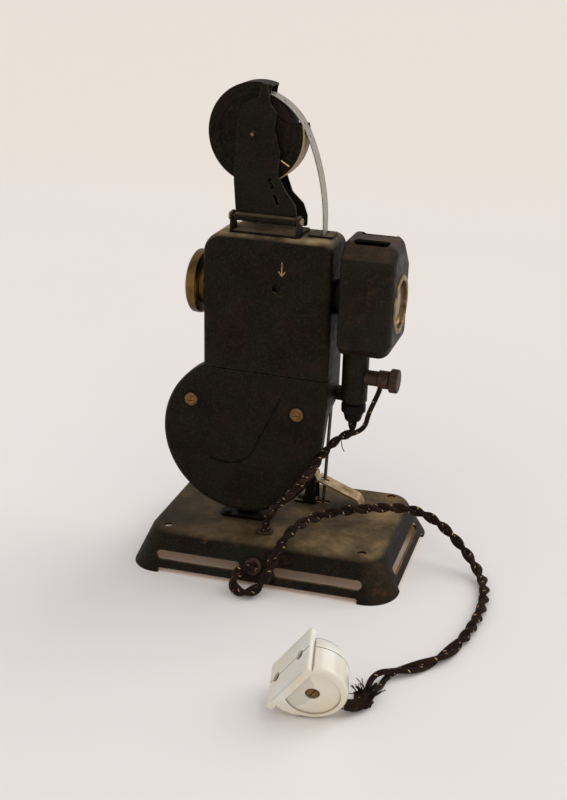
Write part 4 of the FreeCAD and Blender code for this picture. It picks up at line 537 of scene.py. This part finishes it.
def rim_band(f):
    """Paint rubbed off the cartridge's wall at its front, from the mouth down to the fork."""
    lean = math.radians(-20)
    centre = tilted(np.array([ROLL_AT[0], FILM_Y, ROLL_AT[1]]) * MM)
    start = tilted(np.array([ROLL_AT[0] + math.cos(lean), FILM_Y, ROLL_AT[1] + math.sin(lean)]) * MM)
    middle = start - centre
    middle /= np.linalg.norm(middle)
    out = f.span(f.near_axis(centre, (0.0, 1.0, 0.0), 25.2 * MM, 25.6 * MM), 0.0, 1.0, 1.0, 0.0)
    side = f.span(f.along_line(centre, middle), 15 * MM, 19 * MM)
    ragged = f.sums("MULTIPLY_ADD", f.noise(3 * MM, 4), 1.6 * MM, f.axis("Y"))
    front = f.span(ragged, -3.4 * MM, -3.0 * MM, 1.0, 0.0)
    return f.times(f.times(out, side), f.times(front, 0.9))


def porcelain(name):
    """Glazed ivory porcelain, beige where it is handled, with faint grey soil, rare specks, and painted shade
    in its dish and crevices.
    """
    f = Finish(name)
    warm = f.span(f.noise(24 * MM, 3), 0.35, 0.65)
    colour = f.mix(warm, (0.80, 0.765, 0.68), (0.76, 0.67, 0.51))
    soil = f.span(f.noise(8 * MM, 6, 0.65), 0.55, 0.85, 0.0, 0.30)
    colour = f.mix(soil, colour, (0.47, 0.41, 0.31))
    edge = f.times(f.worn_edge(0.9 * MM), f.span(f.noise(3 * MM, 4), 0.46, 0.66, 0.0, 0.45))
    colour = f.mix(edge, colour, (0.44, 0.31, 0.18))
    # Painted shade: the dish sunk in the plug's near face greyed darker
    dish_shade = f.near_axis(plug_face, plug_across, 13.0 * MM, 13.4 * MM)
    depth = f.along_line(plug_face, plug_across)
    sunk = f.span(depth, 0.2 * MM, 0.7 * MM)
    shallow = f.span(depth, 1.2 * MM, 1.5 * MM, 1.0, 0.0)
    colour = f.mix(f.times(f.times(dish_shade, f.times(sunk, shallow)), 0.55), colour, (0.52, 0.50, 0.42))
    # Painted shade: crevices and seams darkened to brown-grey
    colour = f.mix(f.hollow_shade(1.5 * MM), colour, (0.33, 0.25, 0.15))
    speck = f.span(f.noise(1.0 * MM, 2), 0.72, 0.78)
    colour = f.mix(f.times(speck, 0.35), colour, (0.28, 0.19, 0.11))
    rough = f.span(soil, 0.0, 0.3, 0.20, 0.42)
    normal = f.bump(f.noise(6 * MM, 2), 0.25 * MM, 0.2)
    f.shader(Base_Color=colour, Roughness=rough, Normal=normal, Coat_Weight=0.4, Coat_Roughness=0.1,
             Subsurface_Weight=0.05, Subsurface_Scale=0.002)
    return f.material


def braid(name, fleck_pitch, brown):
    """Braided cotton on UV (metres along, turns round): crossing threads, painted shade between them, and a
    gold tracer in dashes.
    """
    f = Finish(name)
    along = f.axis("X", "UV")
    around = f.axis("Y", "UV")
    lays = []
    for turns in (6, -6):
        phase = f.sums("MULTIPLY_ADD", along, TURN / (1.9 * MM), f.times(around, TURN * turns))
        lays.append(f.sums("SINE", phase))
    threads = f.times(*lays)
    tracer_turn = f.sums("FRACT", f.sums("SUBTRACT", f.sums("DIVIDE", along, fleck_pitch), around))
    tracer = f.span(f.off_middle(tracer_turn), 0.44, 0.47)
    dash = f.span(f.sums("SINE", f.times(along, TURN / (fleck_pitch * 0.41))), 0.45, 0.6)
    gold = f.times(tracer, dash)
    fuzz = f.noise(0.9 * MM, 4, 0.7)
    # Painted shade: darker between the threads, lighter where they stand up
    raised_lit = f.span(f.sums("ADD", threads, fuzz), -0.2, 1.6)
    colour = f.mix(raised_lit, (0.0050, 0.0024, 0.0018), (0.034, 0.0155, 0.0105))
    colour = f.mix(f.span(f.noise(14 * MM, 4), 0.50, 0.72, 0.0, brown), colour, (0.080, 0.040, 0.018))
    colour = f.mix(gold, colour, (0.46, 0.31, 0.13))
    normal = f.bump(f.sums("ADD", threads, f.times(fuzz, 0.8)), 0.22 * MM, 0.8)
    f.shader(Base_Color=colour, Roughness=0.9, Normal=normal, Sheen_Weight=0.04, Specular_IOR_Level=0.06)
    return f.material


def film_base(name):
    """Old film on UV (metres along, share across): frames at the film's pitch, a hole between each."""
    f = Finish(name)
    along = f.axis("X", "UV")
    across = f.axis("Y", "UV")
    gap = f.span(f.off_middle(f.sums("FRACT", f.sums("DIVIDE", along, FRAME_PITCH))), 0.40, 0.42)
    off_centre = f.off_middle(across)
    hole = f.times(gap, f.span(off_centre, 0.11, 0.13, 1.0, 0.0))
    picture = f.noise(2.2 * MM, 5, 0.65)
    colour = f.mix(f.span(picture, 0.3, 0.7), (0.20, 0.165, 0.125), (0.50, 0.44, 0.36))
    colour = f.mix(f.times(gap, 0.35), colour, (0.58, 0.52, 0.44))
    colour = f.mix(f.times(f.span(off_centre, 0.41, 0.46), 0.9), colour, (0.06, 0.042, 0.030))
    glossy = f.add("BsdfPrincipled", Base_Color=colour, Roughness=0.28, Specular_IOR_Level=0.6)
    clear = f.add("BsdfTransparent", Color=(0.70, 0.62, 0.52))
    thin = f.sums("MAXIMUM", hole, f.times(f.span(picture, 0.45, 0.7), 0.35))
    share = f.span(thin, 0.0, 1.0, 0.12, 0.80)
    blend = f.add("MixShader")
    f.put(blend.inputs[0], share)
    f.put(blend.inputs[1], glossy.outputs[0])
    f.put(blend.inputs[2], clear.outputs[0])
    f.put(f.output.inputs["Surface"], blend.outputs[0])
    return f.material


def plain(name, colour, roughness, size=3 * MM, spread=0.35, shine=0.2):
    """A near-plain finish whose colour and surface vary a little with noise."""
    f = Finish(name)
    cloud = f.noise(size, 5, 0.6)
    dark = tuple(c * (1 - spread) for c in colour)
    tone = f.mix(f.span(cloud, 0.3, 0.7), dark, colour)
    normal = f.bump(cloud, 0.12 * MM, 0.4)
    rough = f.span(cloud, 0.3, 0.7, roughness, min(1.0, roughness + 0.15))
    f.shader(Base_Color=tone, Roughness=rough, Normal=normal, Specular_IOR_Level=shine)
    return f.material


def clear_glass(name):
    """Clear lens and lamp glass with a light haze of dust."""
    f = Finish(name)
    haze = f.span(f.noise(4 * MM, 4), 0.4, 0.8, 0.02, 0.18)
    f.shader(Base_Color=(0.93, 0.96, 0.95), Roughness=haze, Transmission_Weight=1.0, IOR=1.5)
    return f.material


def silvering(name):
    """Old silvered mirror with dim spots."""
    f = Finish(name)
    dim = f.span(f.noise(5 * MM, 5, 0.65), 0.35, 0.6)
    colour = f.mix(dim, (0.50, 0.41, 0.29), (0.26, 0.185, 0.11))
    f.shader(Base_Color=colour, Roughness=f.span(dim, 0.0, 1.0, 0.22, 0.5), Metallic=1.0)
    return f.material


def wood(name):
    """Dark varnished wood with grain along the handle."""
    f = Finish(name)
    grain = f.noise(1.4 * MM, 4, 0.6, f.stretched((1.0, 0.12, 1.0)))
    colour = f.mix(f.span(grain, 0.3, 0.7), (0.018, 0.008, 0.004), (0.070, 0.030, 0.012))
    f.shader(Base_Color=colour, Roughness=0.32, Normal=f.bump(grain, 0.1 * MM, 0.4), Coat_Weight=0.3)
    return f.material


def dress(material, *names):
    """Gives CAD nodes their material."""
    for name in names:
        mesh = nodes[name].data
        mesh.materials.clear()
        mesh.materials.append(material)


def dress_painted():
    """Black paint of each part of the frame, by how it was handled and how dust could settle."""
    oil_hole = tilted(np.array([OIL_HOLE_AT[0], CASING_FACE_Y, OIL_HOLE_AT[1]]) * MM)
    dress(enamel("enamel_base", dust=1.0, dust_from=0.44, streaks=0.5, powder=BASE_DUST, rust=0.7,
                 roughness=0.44, wear=0.6, lit_inside=PAINTED_INSIDE_LIGHT, x_fade=(10 * MM, 66 * MM, 0.30)),
          "base_pan")
    dress(enamel("enamel_case", dust=1.0, dust_from=0.30, streaks=0.65, powder=CASE_DUST, rust=0.15,
                 oil_and_shade_at=oil_hole),
          "body_shell", "tilt_lugs", "film_door")
    dress(enamel("enamel_cover", dust=0.25, dust_from=0.6, rust=0.1, wear=0.3),
          "drum_cover")
    dress(enamel("enamel_lamp", dust=0.5, dust_from=0.4, powder=LAMP_DUST, rust=0.35, roughness=0.38,
                 wear=0.8, shine=0.10),
          "lamp_house", "lamp_neck", "lamp_socket")
    dress(enamel("enamel_arm", dust=0.85, dust_from=0.4, rust=0.2, roughness=0.40, wear=0.8),
          "film_arm", "arm_bracket", "lever_bracket", "slot_plate", "clamp_screw")
    dress(enamel("enamel_under", dust=0.0, rust=0.2, wear=0.2, shine=0.05),
          "tilt_bracket", "base_rivets")
    dress(enamel("enamel_cartridge", dust=0.06, dust_from=0.7, rust=0.1, roughness=0.40, shine=0.05,
                 band=rim_band),
          "cartridge_case", "cartridge_cover")


def dress_metal():
    """Bare and plated metal: brass by how tarnished it is, tin, steel and the oiled gears; the lens collar's
    brass carries a painted highlight and the shutter shaft painted shade.
    """
    dress(tarnished("screw_brass", (0.30, 0.16, 0.065), (0.10, 0.048, 0.02), rust=0.5, roughness=0.5,
                    size=2.5 * MM),
          "cover_screws", "plug_screw", "plug_contacts")
    dress(tarnished("rusty_brass", (0.054, 0.027, 0.011), (0.016, 0.009, 0.005), rust=0.45, roughness=0.6,
                    size=3 * MM, metal=0.5),
          "terminal_knob", "terminal_bush", "lead_eyelet", "mains_grommet")
    dress(tarnished("ring_brass", BRASS, BRASS_DARK, rust=0.25, roughness=0.36, size=9 * MM),
          "lens_ring", "shaft_bushes")
    # Brass made pale and barely metal so the collar looks bright: a painted highlight
    dress(tarnished("tube_brass_and_highlight", (0.92, 0.64, 0.30), (0.60, 0.38, 0.16), rust=0.1, roughness=0.22,
                    size=7 * MM, metal=0.3),
          "lens_tube", "lens_bush")
    dress(tarnished("window_brass", (0.34, 0.23, 0.11), BRASS_DARK, rust=0.4, roughness=0.4, size=5 * MM),
          "window_ring")
    dress(tarnished("pin_brass", (0.34, 0.25, 0.12), (0.05, 0.036, 0.02), rust=0.2, roughness=0.34,
                    size=4 * MM),
          "arm_pin")
    dress(tarnished("worn_tin", (0.50, 0.37, 0.22), (0.23, 0.13, 0.055), rust=0.6, roughness=0.45,
                    size=5 * MM),
          "lock_lever")
    dress(tarnished("dull_steel", STEEL, (0.05, 0.043, 0.036), rust=0.35, roughness=0.42),
          "tilt_rod", "tilt_pin", "rod_stud", "crank_shaft", "crank_arm", "door_hinge", "mechanism_plate",
          "plate_studs", "gate_plate", "pressure_plate", "claw", "shutter_drum", "resistor_clips")
    dress(tarnished("oiled_gears", (0.33, 0.27, 0.17), (0.12, 0.09, 0.055), rust=0.15, roughness=0.34,
                    size=12 * MM),
          "crank_gear", "idler_gear")
    # Oiled steel darkened near black: painted shade seen through the oil hole
    dress(tarnished("oily_shaft_hole_shade", (0.02, 0.018, 0.016), (0.01, 0.009, 0.008), rust=0.1, roughness=0.5),
          "shutter_shaft")


def dress_rest():
    """Porcelain, moulded fibre, film, glass and wood."""
    dress(porcelain("ivory_glaze"), "plug_front", "plug_back")
    dress(plain("pressed_fibre", (0.009, 0.006, 0.005), 0.5, shine=0.08), "socket_cap")
    dress(plain("resistor_body", (0.42, 0.36, 0.28), 0.8), "resistor")
    dress(plain("wound_film", (0.022, 0.011, 0.008), 0.55, size=1.5 * MM, shine=0.08), "film_roll")
    dress(clear_glass("clear_glass"), "condenser", "lens_glass", "lamp_bulb")
    dress(silvering("silvering"), "mirror")
    dress(wood("handle_wood"), "crank_handle")


# Pieces

def mains_cord_piece():
    """Twisted pair of braided strands along the mains route, ending in the plug."""
    line = resampled(spline_line("mains_line", mains_route), LINE_STEP)
    radius = MAINS_D / 4
    along = arc_length(line)
    parted = radius * (1.0 + PARTED_EXTRA * hump(along, along[-1] - PARTED_FROM_END, PARTED_LENGTH))
    rate = np.where(along < along[-1] - SLOW_FROM_END, TURN / MAINS_PITCH, TURN / SLOW_PITCH)
    turn = np.cumsum(rate * np.gradient(along))
    at_cross = np.argmin(np.abs(along - (along[-1] - CROSSED_FROM_END)))
    _, normal, binormal = frames_along(line)
    view = np.asarray(CAMERA_AT) - line[at_cross]
    turn += math.atan2(view @ binormal[at_cross], view @ normal[at_cross]) - turn[at_cross]
    strands = [np.maximum(s, (-np.inf, -np.inf, radius)) for s in strand_lines(line, parted, turn)]
    piece = joined_tubes("mains_cord_twist", [(s, radius, STRAND_SIDES) for s in strands], "base")
    piece.data.materials.append(braid("mains_braid", 9 * MM, 0.35))
    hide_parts("mains_cord")
    return line


def lamp_lead_piece():
    """Twisted pair from the base's eyelet to the socket's cap."""
    line = resampled(spline_line("lead_line", lead_route), LINE_STEP)
    radius = LEAD_D / 4
    strands = strand_lines(line, radius, TURN * arc_length(line) / LEAD_PITCH + LEAD_FIRST_TURN)
    piece = joined_tubes("lamp_lead_twist", [(s, radius, STRAND_SIDES) for s in strands], None)
    piece.data.materials.append(braid("lead_braid", 7 * MM, 0.75))
    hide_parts("lamp_lead")
    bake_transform(piece)


def film_line():
    """Film centreline in the head frame: a straight, then three tangent arcs ending on the roll."""
    low_end = 134.0
    roll_at = np.array(ROLL_AT)
    long_r, short_r, wrap_r = 113.0, 34.0, 21.2
    exit_turn, last_turn = math.radians(70.0), math.radians(100.0)
    short_at = roll_at - (short_r - wrap_r) * np.array([math.cos(exit_turn), math.sin(exit_turn)])
    run = FILM_X - short_at[0]
    straight_top = short_at[1] - math.sqrt((run - short_r) * (2 * long_r - short_r - run))
    long_at = np.array([FILM_X - long_r, straight_top])
    long_turn = math.atan2(short_at[1] - long_at[1], short_at[0] - long_at[0])
    stretches = [np.stack([np.full(40, FILM_X), np.linspace(low_end, straight_top, 40)], -1)]
    bends = ((long_at, long_r, 0.0, long_turn, 32), (short_at, short_r, long_turn, exit_turn, 24),
             (roll_at, wrap_r, exit_turn, last_turn, 12))
    for centre, radius, start, end, count in bends:
        turn = np.linspace(start, end, count)[1:]
        stretches.append(centre + radius * np.stack([np.cos(turn), np.sin(turn)], -1))
    return np.vstack(stretches)


def film_piece():
    """Film strip: the centreline carried across the film's width, two faces and a rim."""
    line = film_line()
    tangent = np.gradient(line, axis=0)
    tangent /= np.linalg.norm(tangent, axis=1, keepdims=True)
    out = np.stack([tangent[:, 1], -tangent[:, 0]], -1)
    across = np.linspace(-FILM_WIDTH / 2, FILM_WIDTH / 2, 5)
    along = arc_length(np.column_stack([line, np.zeros(len(line))])) * MM
    sides = []
    for thick in (FILM_HALF_THICK, -FILM_HALF_THICK):
        edge = (line + out * thick)[:, None, :]
        points = np.stack(np.broadcast_arrays(edge[..., 0], FILM_Y + across[None, :], edge[..., 1]), -1)
        sides.append(points.reshape(-1, 3))
    rows, columns = len(line), len(across)
    front = grid_faces(rows, columns)
    shift = rows * columns
    back = front[:, ::-1] + shift
    rim = np.concatenate([
        np.arange(columns - 1), np.arange(rows - 1) * columns + columns - 1,
        shift - 1 - np.arange(columns - 1), (rows - 1 - np.arange(rows - 1)) * columns,
    ])
    ahead = np.roll(rim, -1)
    edges = np.stack([rim, rim + shift, ahead + shift, ahead], -1)
    share = (across / FILM_WIDTH + 0.5)[None, :]
    uv = np.stack(np.broadcast_arrays(along[:, None], share), -1).reshape(-1, 2)
    faces = np.vstack([front, back, edges])
    piece = new_piece("film_run", tilted(np.vstack(sides) * MM), faces, None, uv=np.vstack([uv, uv]))
    piece.data.materials.append(film_base("grey_film"))
    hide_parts("film_strip")
    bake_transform(piece)


def rounded_line(points, step=0.4 * MM):
    """A quadratic B-spline through the middles of a few points, evenly resampled."""
    return resampled(spline_line("line", points), step)


def frayed_sleeve(core):
    """Black cotton sleeve that bursts where the cord enters the plug: r(s) = base + taper + ripple."""
    share = (arc_length(core) / arc_length(core)[-1])[:, None]
    sides = 28
    turn = np.linspace(0.0, TURN, sides, endpoint=False)
    ragged = 1.0 + 0.20 * np.sin(5 * turn + 11 * share) + 0.14 * np.sin(12 * turn - 23 * share)
    burst = np.exp(-((share - 0.22) / 0.2) ** 2)
    swell = (2.3 + 2.1 * burst) * MM * np.clip(share / 0.10, 0.25, 1.0) ** 0.5
    _, normal, binormal = frames_along(core)
    points = core[:, None, :] + (swell * ragged)[:, :, None] * round_ring(normal, binormal, turn)
    points[..., 2] = np.maximum(points[..., 2], 0.2 * MM)
    count = len(core) * sides
    faces = grid_faces(len(core), sides, wrap=True).tolist()
    faces += fan_faces(0, sides, count, inward=True).tolist()
    faces += fan_faces(count - sides, sides, count + 1).tolist()
    points = np.vstack([points.reshape(-1, 3), core[0], core[-1]])
    sleeve = new_piece("frayed_sleeve", points, faces, "base")
    sleeve.data.materials.append(braid("sleeve_cotton", 9 * MM, 0.1))


def frayed_threads(core):
    """Loose threads that stand out of the burst sleeve, each bent once at its knee."""
    rng = np.random.default_rng(11)
    threads = []
    tangent, normal, binormal = frames_along(core)
    for k in range(34):
        at = rng.integers(1, 7)
        turn = rng.uniform(0, TURN)
        lean = normal[at] * math.cos(turn) + binormal[at] * math.sin(turn)
        if k % 3:
            lean[2] = abs(lean[2]) + 0.3
        lean /= np.linalg.norm(lean)
        reach = rng.uniform(3.5, 10.0) * MM
        foot = core[at] + lean * 2.0 * MM
        tip = foot + (lean + tangent[at] * rng.uniform(-0.9, 0.5)) * reach * 0.8
        knee = (foot + tip) / 2 + rng.normal(size=3) * 1.0 * MM
        path = np.array([foot, knee, tip])
        path[:, 2] = np.maximum(path[:, 2], 0.5 * MM)
        threads.append((rounded_line(path, 0.8 * MM), 0.55 * MM if k % 5 == 0 else 0.24 * MM, 6))
    fringe = joined_tubes("frayed_threads", threads, "base")
    fringe.data.materials.append(plain("thread_black", (0.006, 0.004, 0.004), 0.85))


def terminal_wire():
    """One strand of the lead that turns up to the terminal's knob, and a loose thread under the cap."""
    line = rounded_line(np.array([
        (41.0, -11.5, 81.5), (46.5, -13.6, 84.0), (53.0, -13.4, 88.6), (54.6, -12.6, 96.5),
        (57.4, -11.2, 103.5), (60.0, -9.6, 110.0), (60.6, -9.0, 113.6),
    ]) * MM)
    piece = joined_tubes("terminal_wire", [(line, WIRE_D / 2, 14)], "head")
    piece.data.materials.append(braid("wire_braid", 7 * MM, 0.5))
    loose = rounded_line(np.array([
        (39.2, -13.4, 80.0), (40.0, -14.2, 78.0), (40.2, -14.2, 75.2), (41.4, -13.6, 72.6),
    ]) * MM)
    thread = joined_tubes("loose_thread", [(loose, 0.26 * MM, 6)], "head")
    thread.data.materials.append(bpy.data.materials["thread_black"])


def strokes(name, lines, width, height, place, body):
    """Low closed strokes: p(s) + w cos t side + height sin t out, for t round a whole turn."""
    rows, ring = 24, 14
    points, faces, base = [], [], 0
    turn = np.linspace(0.0, TURN, ring, endpoint=False)
    s = np.linspace(0.0, 1.0, rows)[:, None]
    taper = np.sqrt(np.clip(1 - (2 * s - 1) ** 8, 0.06, 1.0)) * (1 + 0.12 * np.sin(17 * s))
    for start, end in lines:
        start, end = np.asarray(start, float), np.asarray(end, float)
        along = (end - start) / np.linalg.norm(end - start)
        side = np.array([-along[1], along[0]])
        middle = start + (end - start) * s
        flat = middle[:, None, :] + (np.cos(turn)[None, :, None] * taper[:, :, None] * width / 2) * side
        proud = height * np.sin(turn)[None, :] * taper
        points.append(place(flat, proud).reshape(-1, 3))
        faces += (grid_faces(rows, ring, wrap=True) + base).tolist()
        last = base + (rows - 1) * ring
        faces += [list(range(base, base + ring))[::-1], list(range(last, last + ring))]
        base += rows * ring
    return new_piece(name, np.vstack(points), faces, body)


def dome(name, at, out, radius, height, body):
    """A low rivet head: r = radius sin a, rise = height cos a over a quarter turn, closed at both ends."""
    rows, ring = 9, 32
    out = np.asarray(out, float)
    across = np.cross(out, (0.0, 0.0, 1.0))
    across /= np.linalg.norm(across)
    up = np.cross(across, out)
    lift = np.linspace(math.pi / 2, 0.06, rows)[:, None, None]
    turn = np.linspace(0.0, TURN, ring, endpoint=False)[None, :, None]
    round_it = across * np.cos(turn) + up * np.sin(turn)
    points = at + round_it * radius * np.sin(lift) + out * height * np.cos(lift)
    count = rows * ring
    faces = grid_faces(rows, ring, wrap=True)[:, ::-1].tolist()
    faces += fan_faces(count - ring, ring, count, inward=True).tolist()
    faces += fan_faces(0, ring, count + 1).tolist()
    return new_piece(name, np.vstack([points.reshape(-1, 3), at + out * height, at]), faces, body)


def casing_arrow():
    """Worn gold arrow on the casing that points down at the oil hole."""
    foot, top, barb_out, barb_up = (4.1, 175.4), (4.1, 183.0), 1.9, 2.5
    barbs = [((foot[0] + side * barb_out, foot[1] + barb_up), foot) for side in (-1, 1)]

    def on_casing(flat, proud):
        return tilted(np.stack([flat[..., 0], CASING_FACE_Y - proud, flat[..., 1]], -1) * MM)

    piece = strokes("oil_arrow", [(top, foot), *barbs], 0.75, 0.08, on_casing, "head")
    piece.data.materials.append(plain("worn_gold", (0.42, 0.27, 0.11), 0.6, size=0.8 * MM, spread=0.75))


def cartridge_details():
    """A brass catch wire on the cartridge's lid and a rusty rivet in the middle of the arm's boss."""
    catch = rounded_line(tilted(np.array([
        (-0.5, -16.4, 234.1), (-0.2, -16.75, 233.9), (1.7, -16.8, 232.75), (3.6, -16.75, 231.6),
        (3.9, -16.4, 231.4),
    ]) * MM), 0.2 * MM)
    wire = joined_tubes("catch_wire", [(catch, 0.38 * MM, 10)], "arm")
    wire.data.materials.append(tarnished("catch_brass", (0.85, 0.66, 0.36), (0.6, 0.42, 0.18), rust=0.1,
                                         roughness=0.25))
    boss = tilted(np.array([-15.2, -19.8, 246.6]) * MM)
    rivet = dome("boss_rivet", boss, (0.0, -1.0, 0.0), 0.95 * MM, 0.32 * MM, "arm")
    rivet.data.materials.append(tarnished("rivet_rust", (0.24, 0.13, 0.08), (0.09, 0.042, 0.024), rust=0.6,
                                          roughness=0.6, size=1.2 * MM, metal=0.4))


def stage():
    """Pale floor and soft light."""
    half = FLOOR_HALF
    corners = [(-half, -half, 0), (half, -half, 0), (half, half, 0), (-half, half, 0)]
    mesh = bpy.data.meshes.new("floor")
    mesh.from_pydata(corners, [], [(0, 1, 2, 3)])
    floor = bpy.data.objects.new("floor", mesh)
    bpy.context.scene.collection.objects.link(floor)
    f = Finish("floor_paint")
    grain = f.noise(0.35, 3)
    near = f.mix(f.span(grain, 0.35, 0.65), (0.885, 0.825, 0.785), (0.900, 0.845, 0.805))
    colour = f.mix(f.span(f.axis("Y"), 0.1, 1.2), near, (0.905, 0.815, 0.735))
    f.shader(Base_Color=colour, Roughness=0.85, Specular_IOR_Level=0.1)
    mesh.materials.append(f.material)

    world = bpy.context.scene.world or bpy.data.worlds.new("world")
    bpy.context.scene.world = world
    world.use_nodes = True
    background = world.node_tree.nodes["Background"]
    background.inputs["Color"].default_value = (0.95, 0.97, 1.0, 1.0)
    background.inputs["Strength"].default_value = WORLD_STRENGTH

    def sun(name, towards, strength, angle, colour):
        data = bpy.data.lights.new(name, "SUN")
        data.energy = strength
        data.angle = math.radians(angle)
        data.color = colour
        lamp = bpy.data.objects.new(name, data)
        lamp.rotation_mode = "QUATERNION"
        lamp.rotation_quaternion = Vector(towards).to_track_quat("-Z", "Y")
        bpy.context.scene.collection.objects.link(lamp)

    sun("window_light", (-0.62, -0.45, -0.72), 1.1, 50, (0.97, 0.98, 1.0))
    sun("front_light", (-0.15, 0.75, -0.65), 0.45, 70, (1.0, 0.96, 0.90))


def camera():
    """The photograph's camera."""
    a, e, r = (math.radians(v) for v in (CAMERA_AZIMUTH, CAMERA_ELEVATION, CAMERA_ROLL))
    back = Vector((math.sin(a) * math.cos(e), -math.cos(a) * math.cos(e), math.sin(e)))
    level = Vector((math.cos(a), math.sin(a), 0))
    rise = back.cross(level)
    right = level * math.cos(r) + rise * math.sin(r)
    up = rise * math.cos(r) - level * math.sin(r)
    data = bpy.data.cameras.new("camera")
    data.sensor_width = LONG_SENSOR
    data.sensor_fit = "AUTO"
    data.lens = CAMERA_LENS
    data.clip_start = 0.01
    data.clip_end = 50
    eye = bpy.data.objects.new("camera", data)
    eye.matrix_world = Matrix.Translation(CAMERA_AT) @ Matrix((right, up, back)).transposed().to_4x4()
    bpy.context.scene.collection.objects.link(eye)
    bpy.context.scene.camera = eye


camera()
dress_painted()
dress_metal()
dress_rest()
mains_line = mains_cord_piece()
lamp_lead_piece()
frayed_end = mains_line[arc_length(mains_line) > arc_length(mains_line)[-1] - FRAY_LENGTH]
frayed_sleeve(frayed_end)
frayed_threads(frayed_end)
terminal_wire()
film_piece()
casing_arrow()
cartridge_details()
stage()
bpy.context.scene.view_settings.view_transform = "Standard"
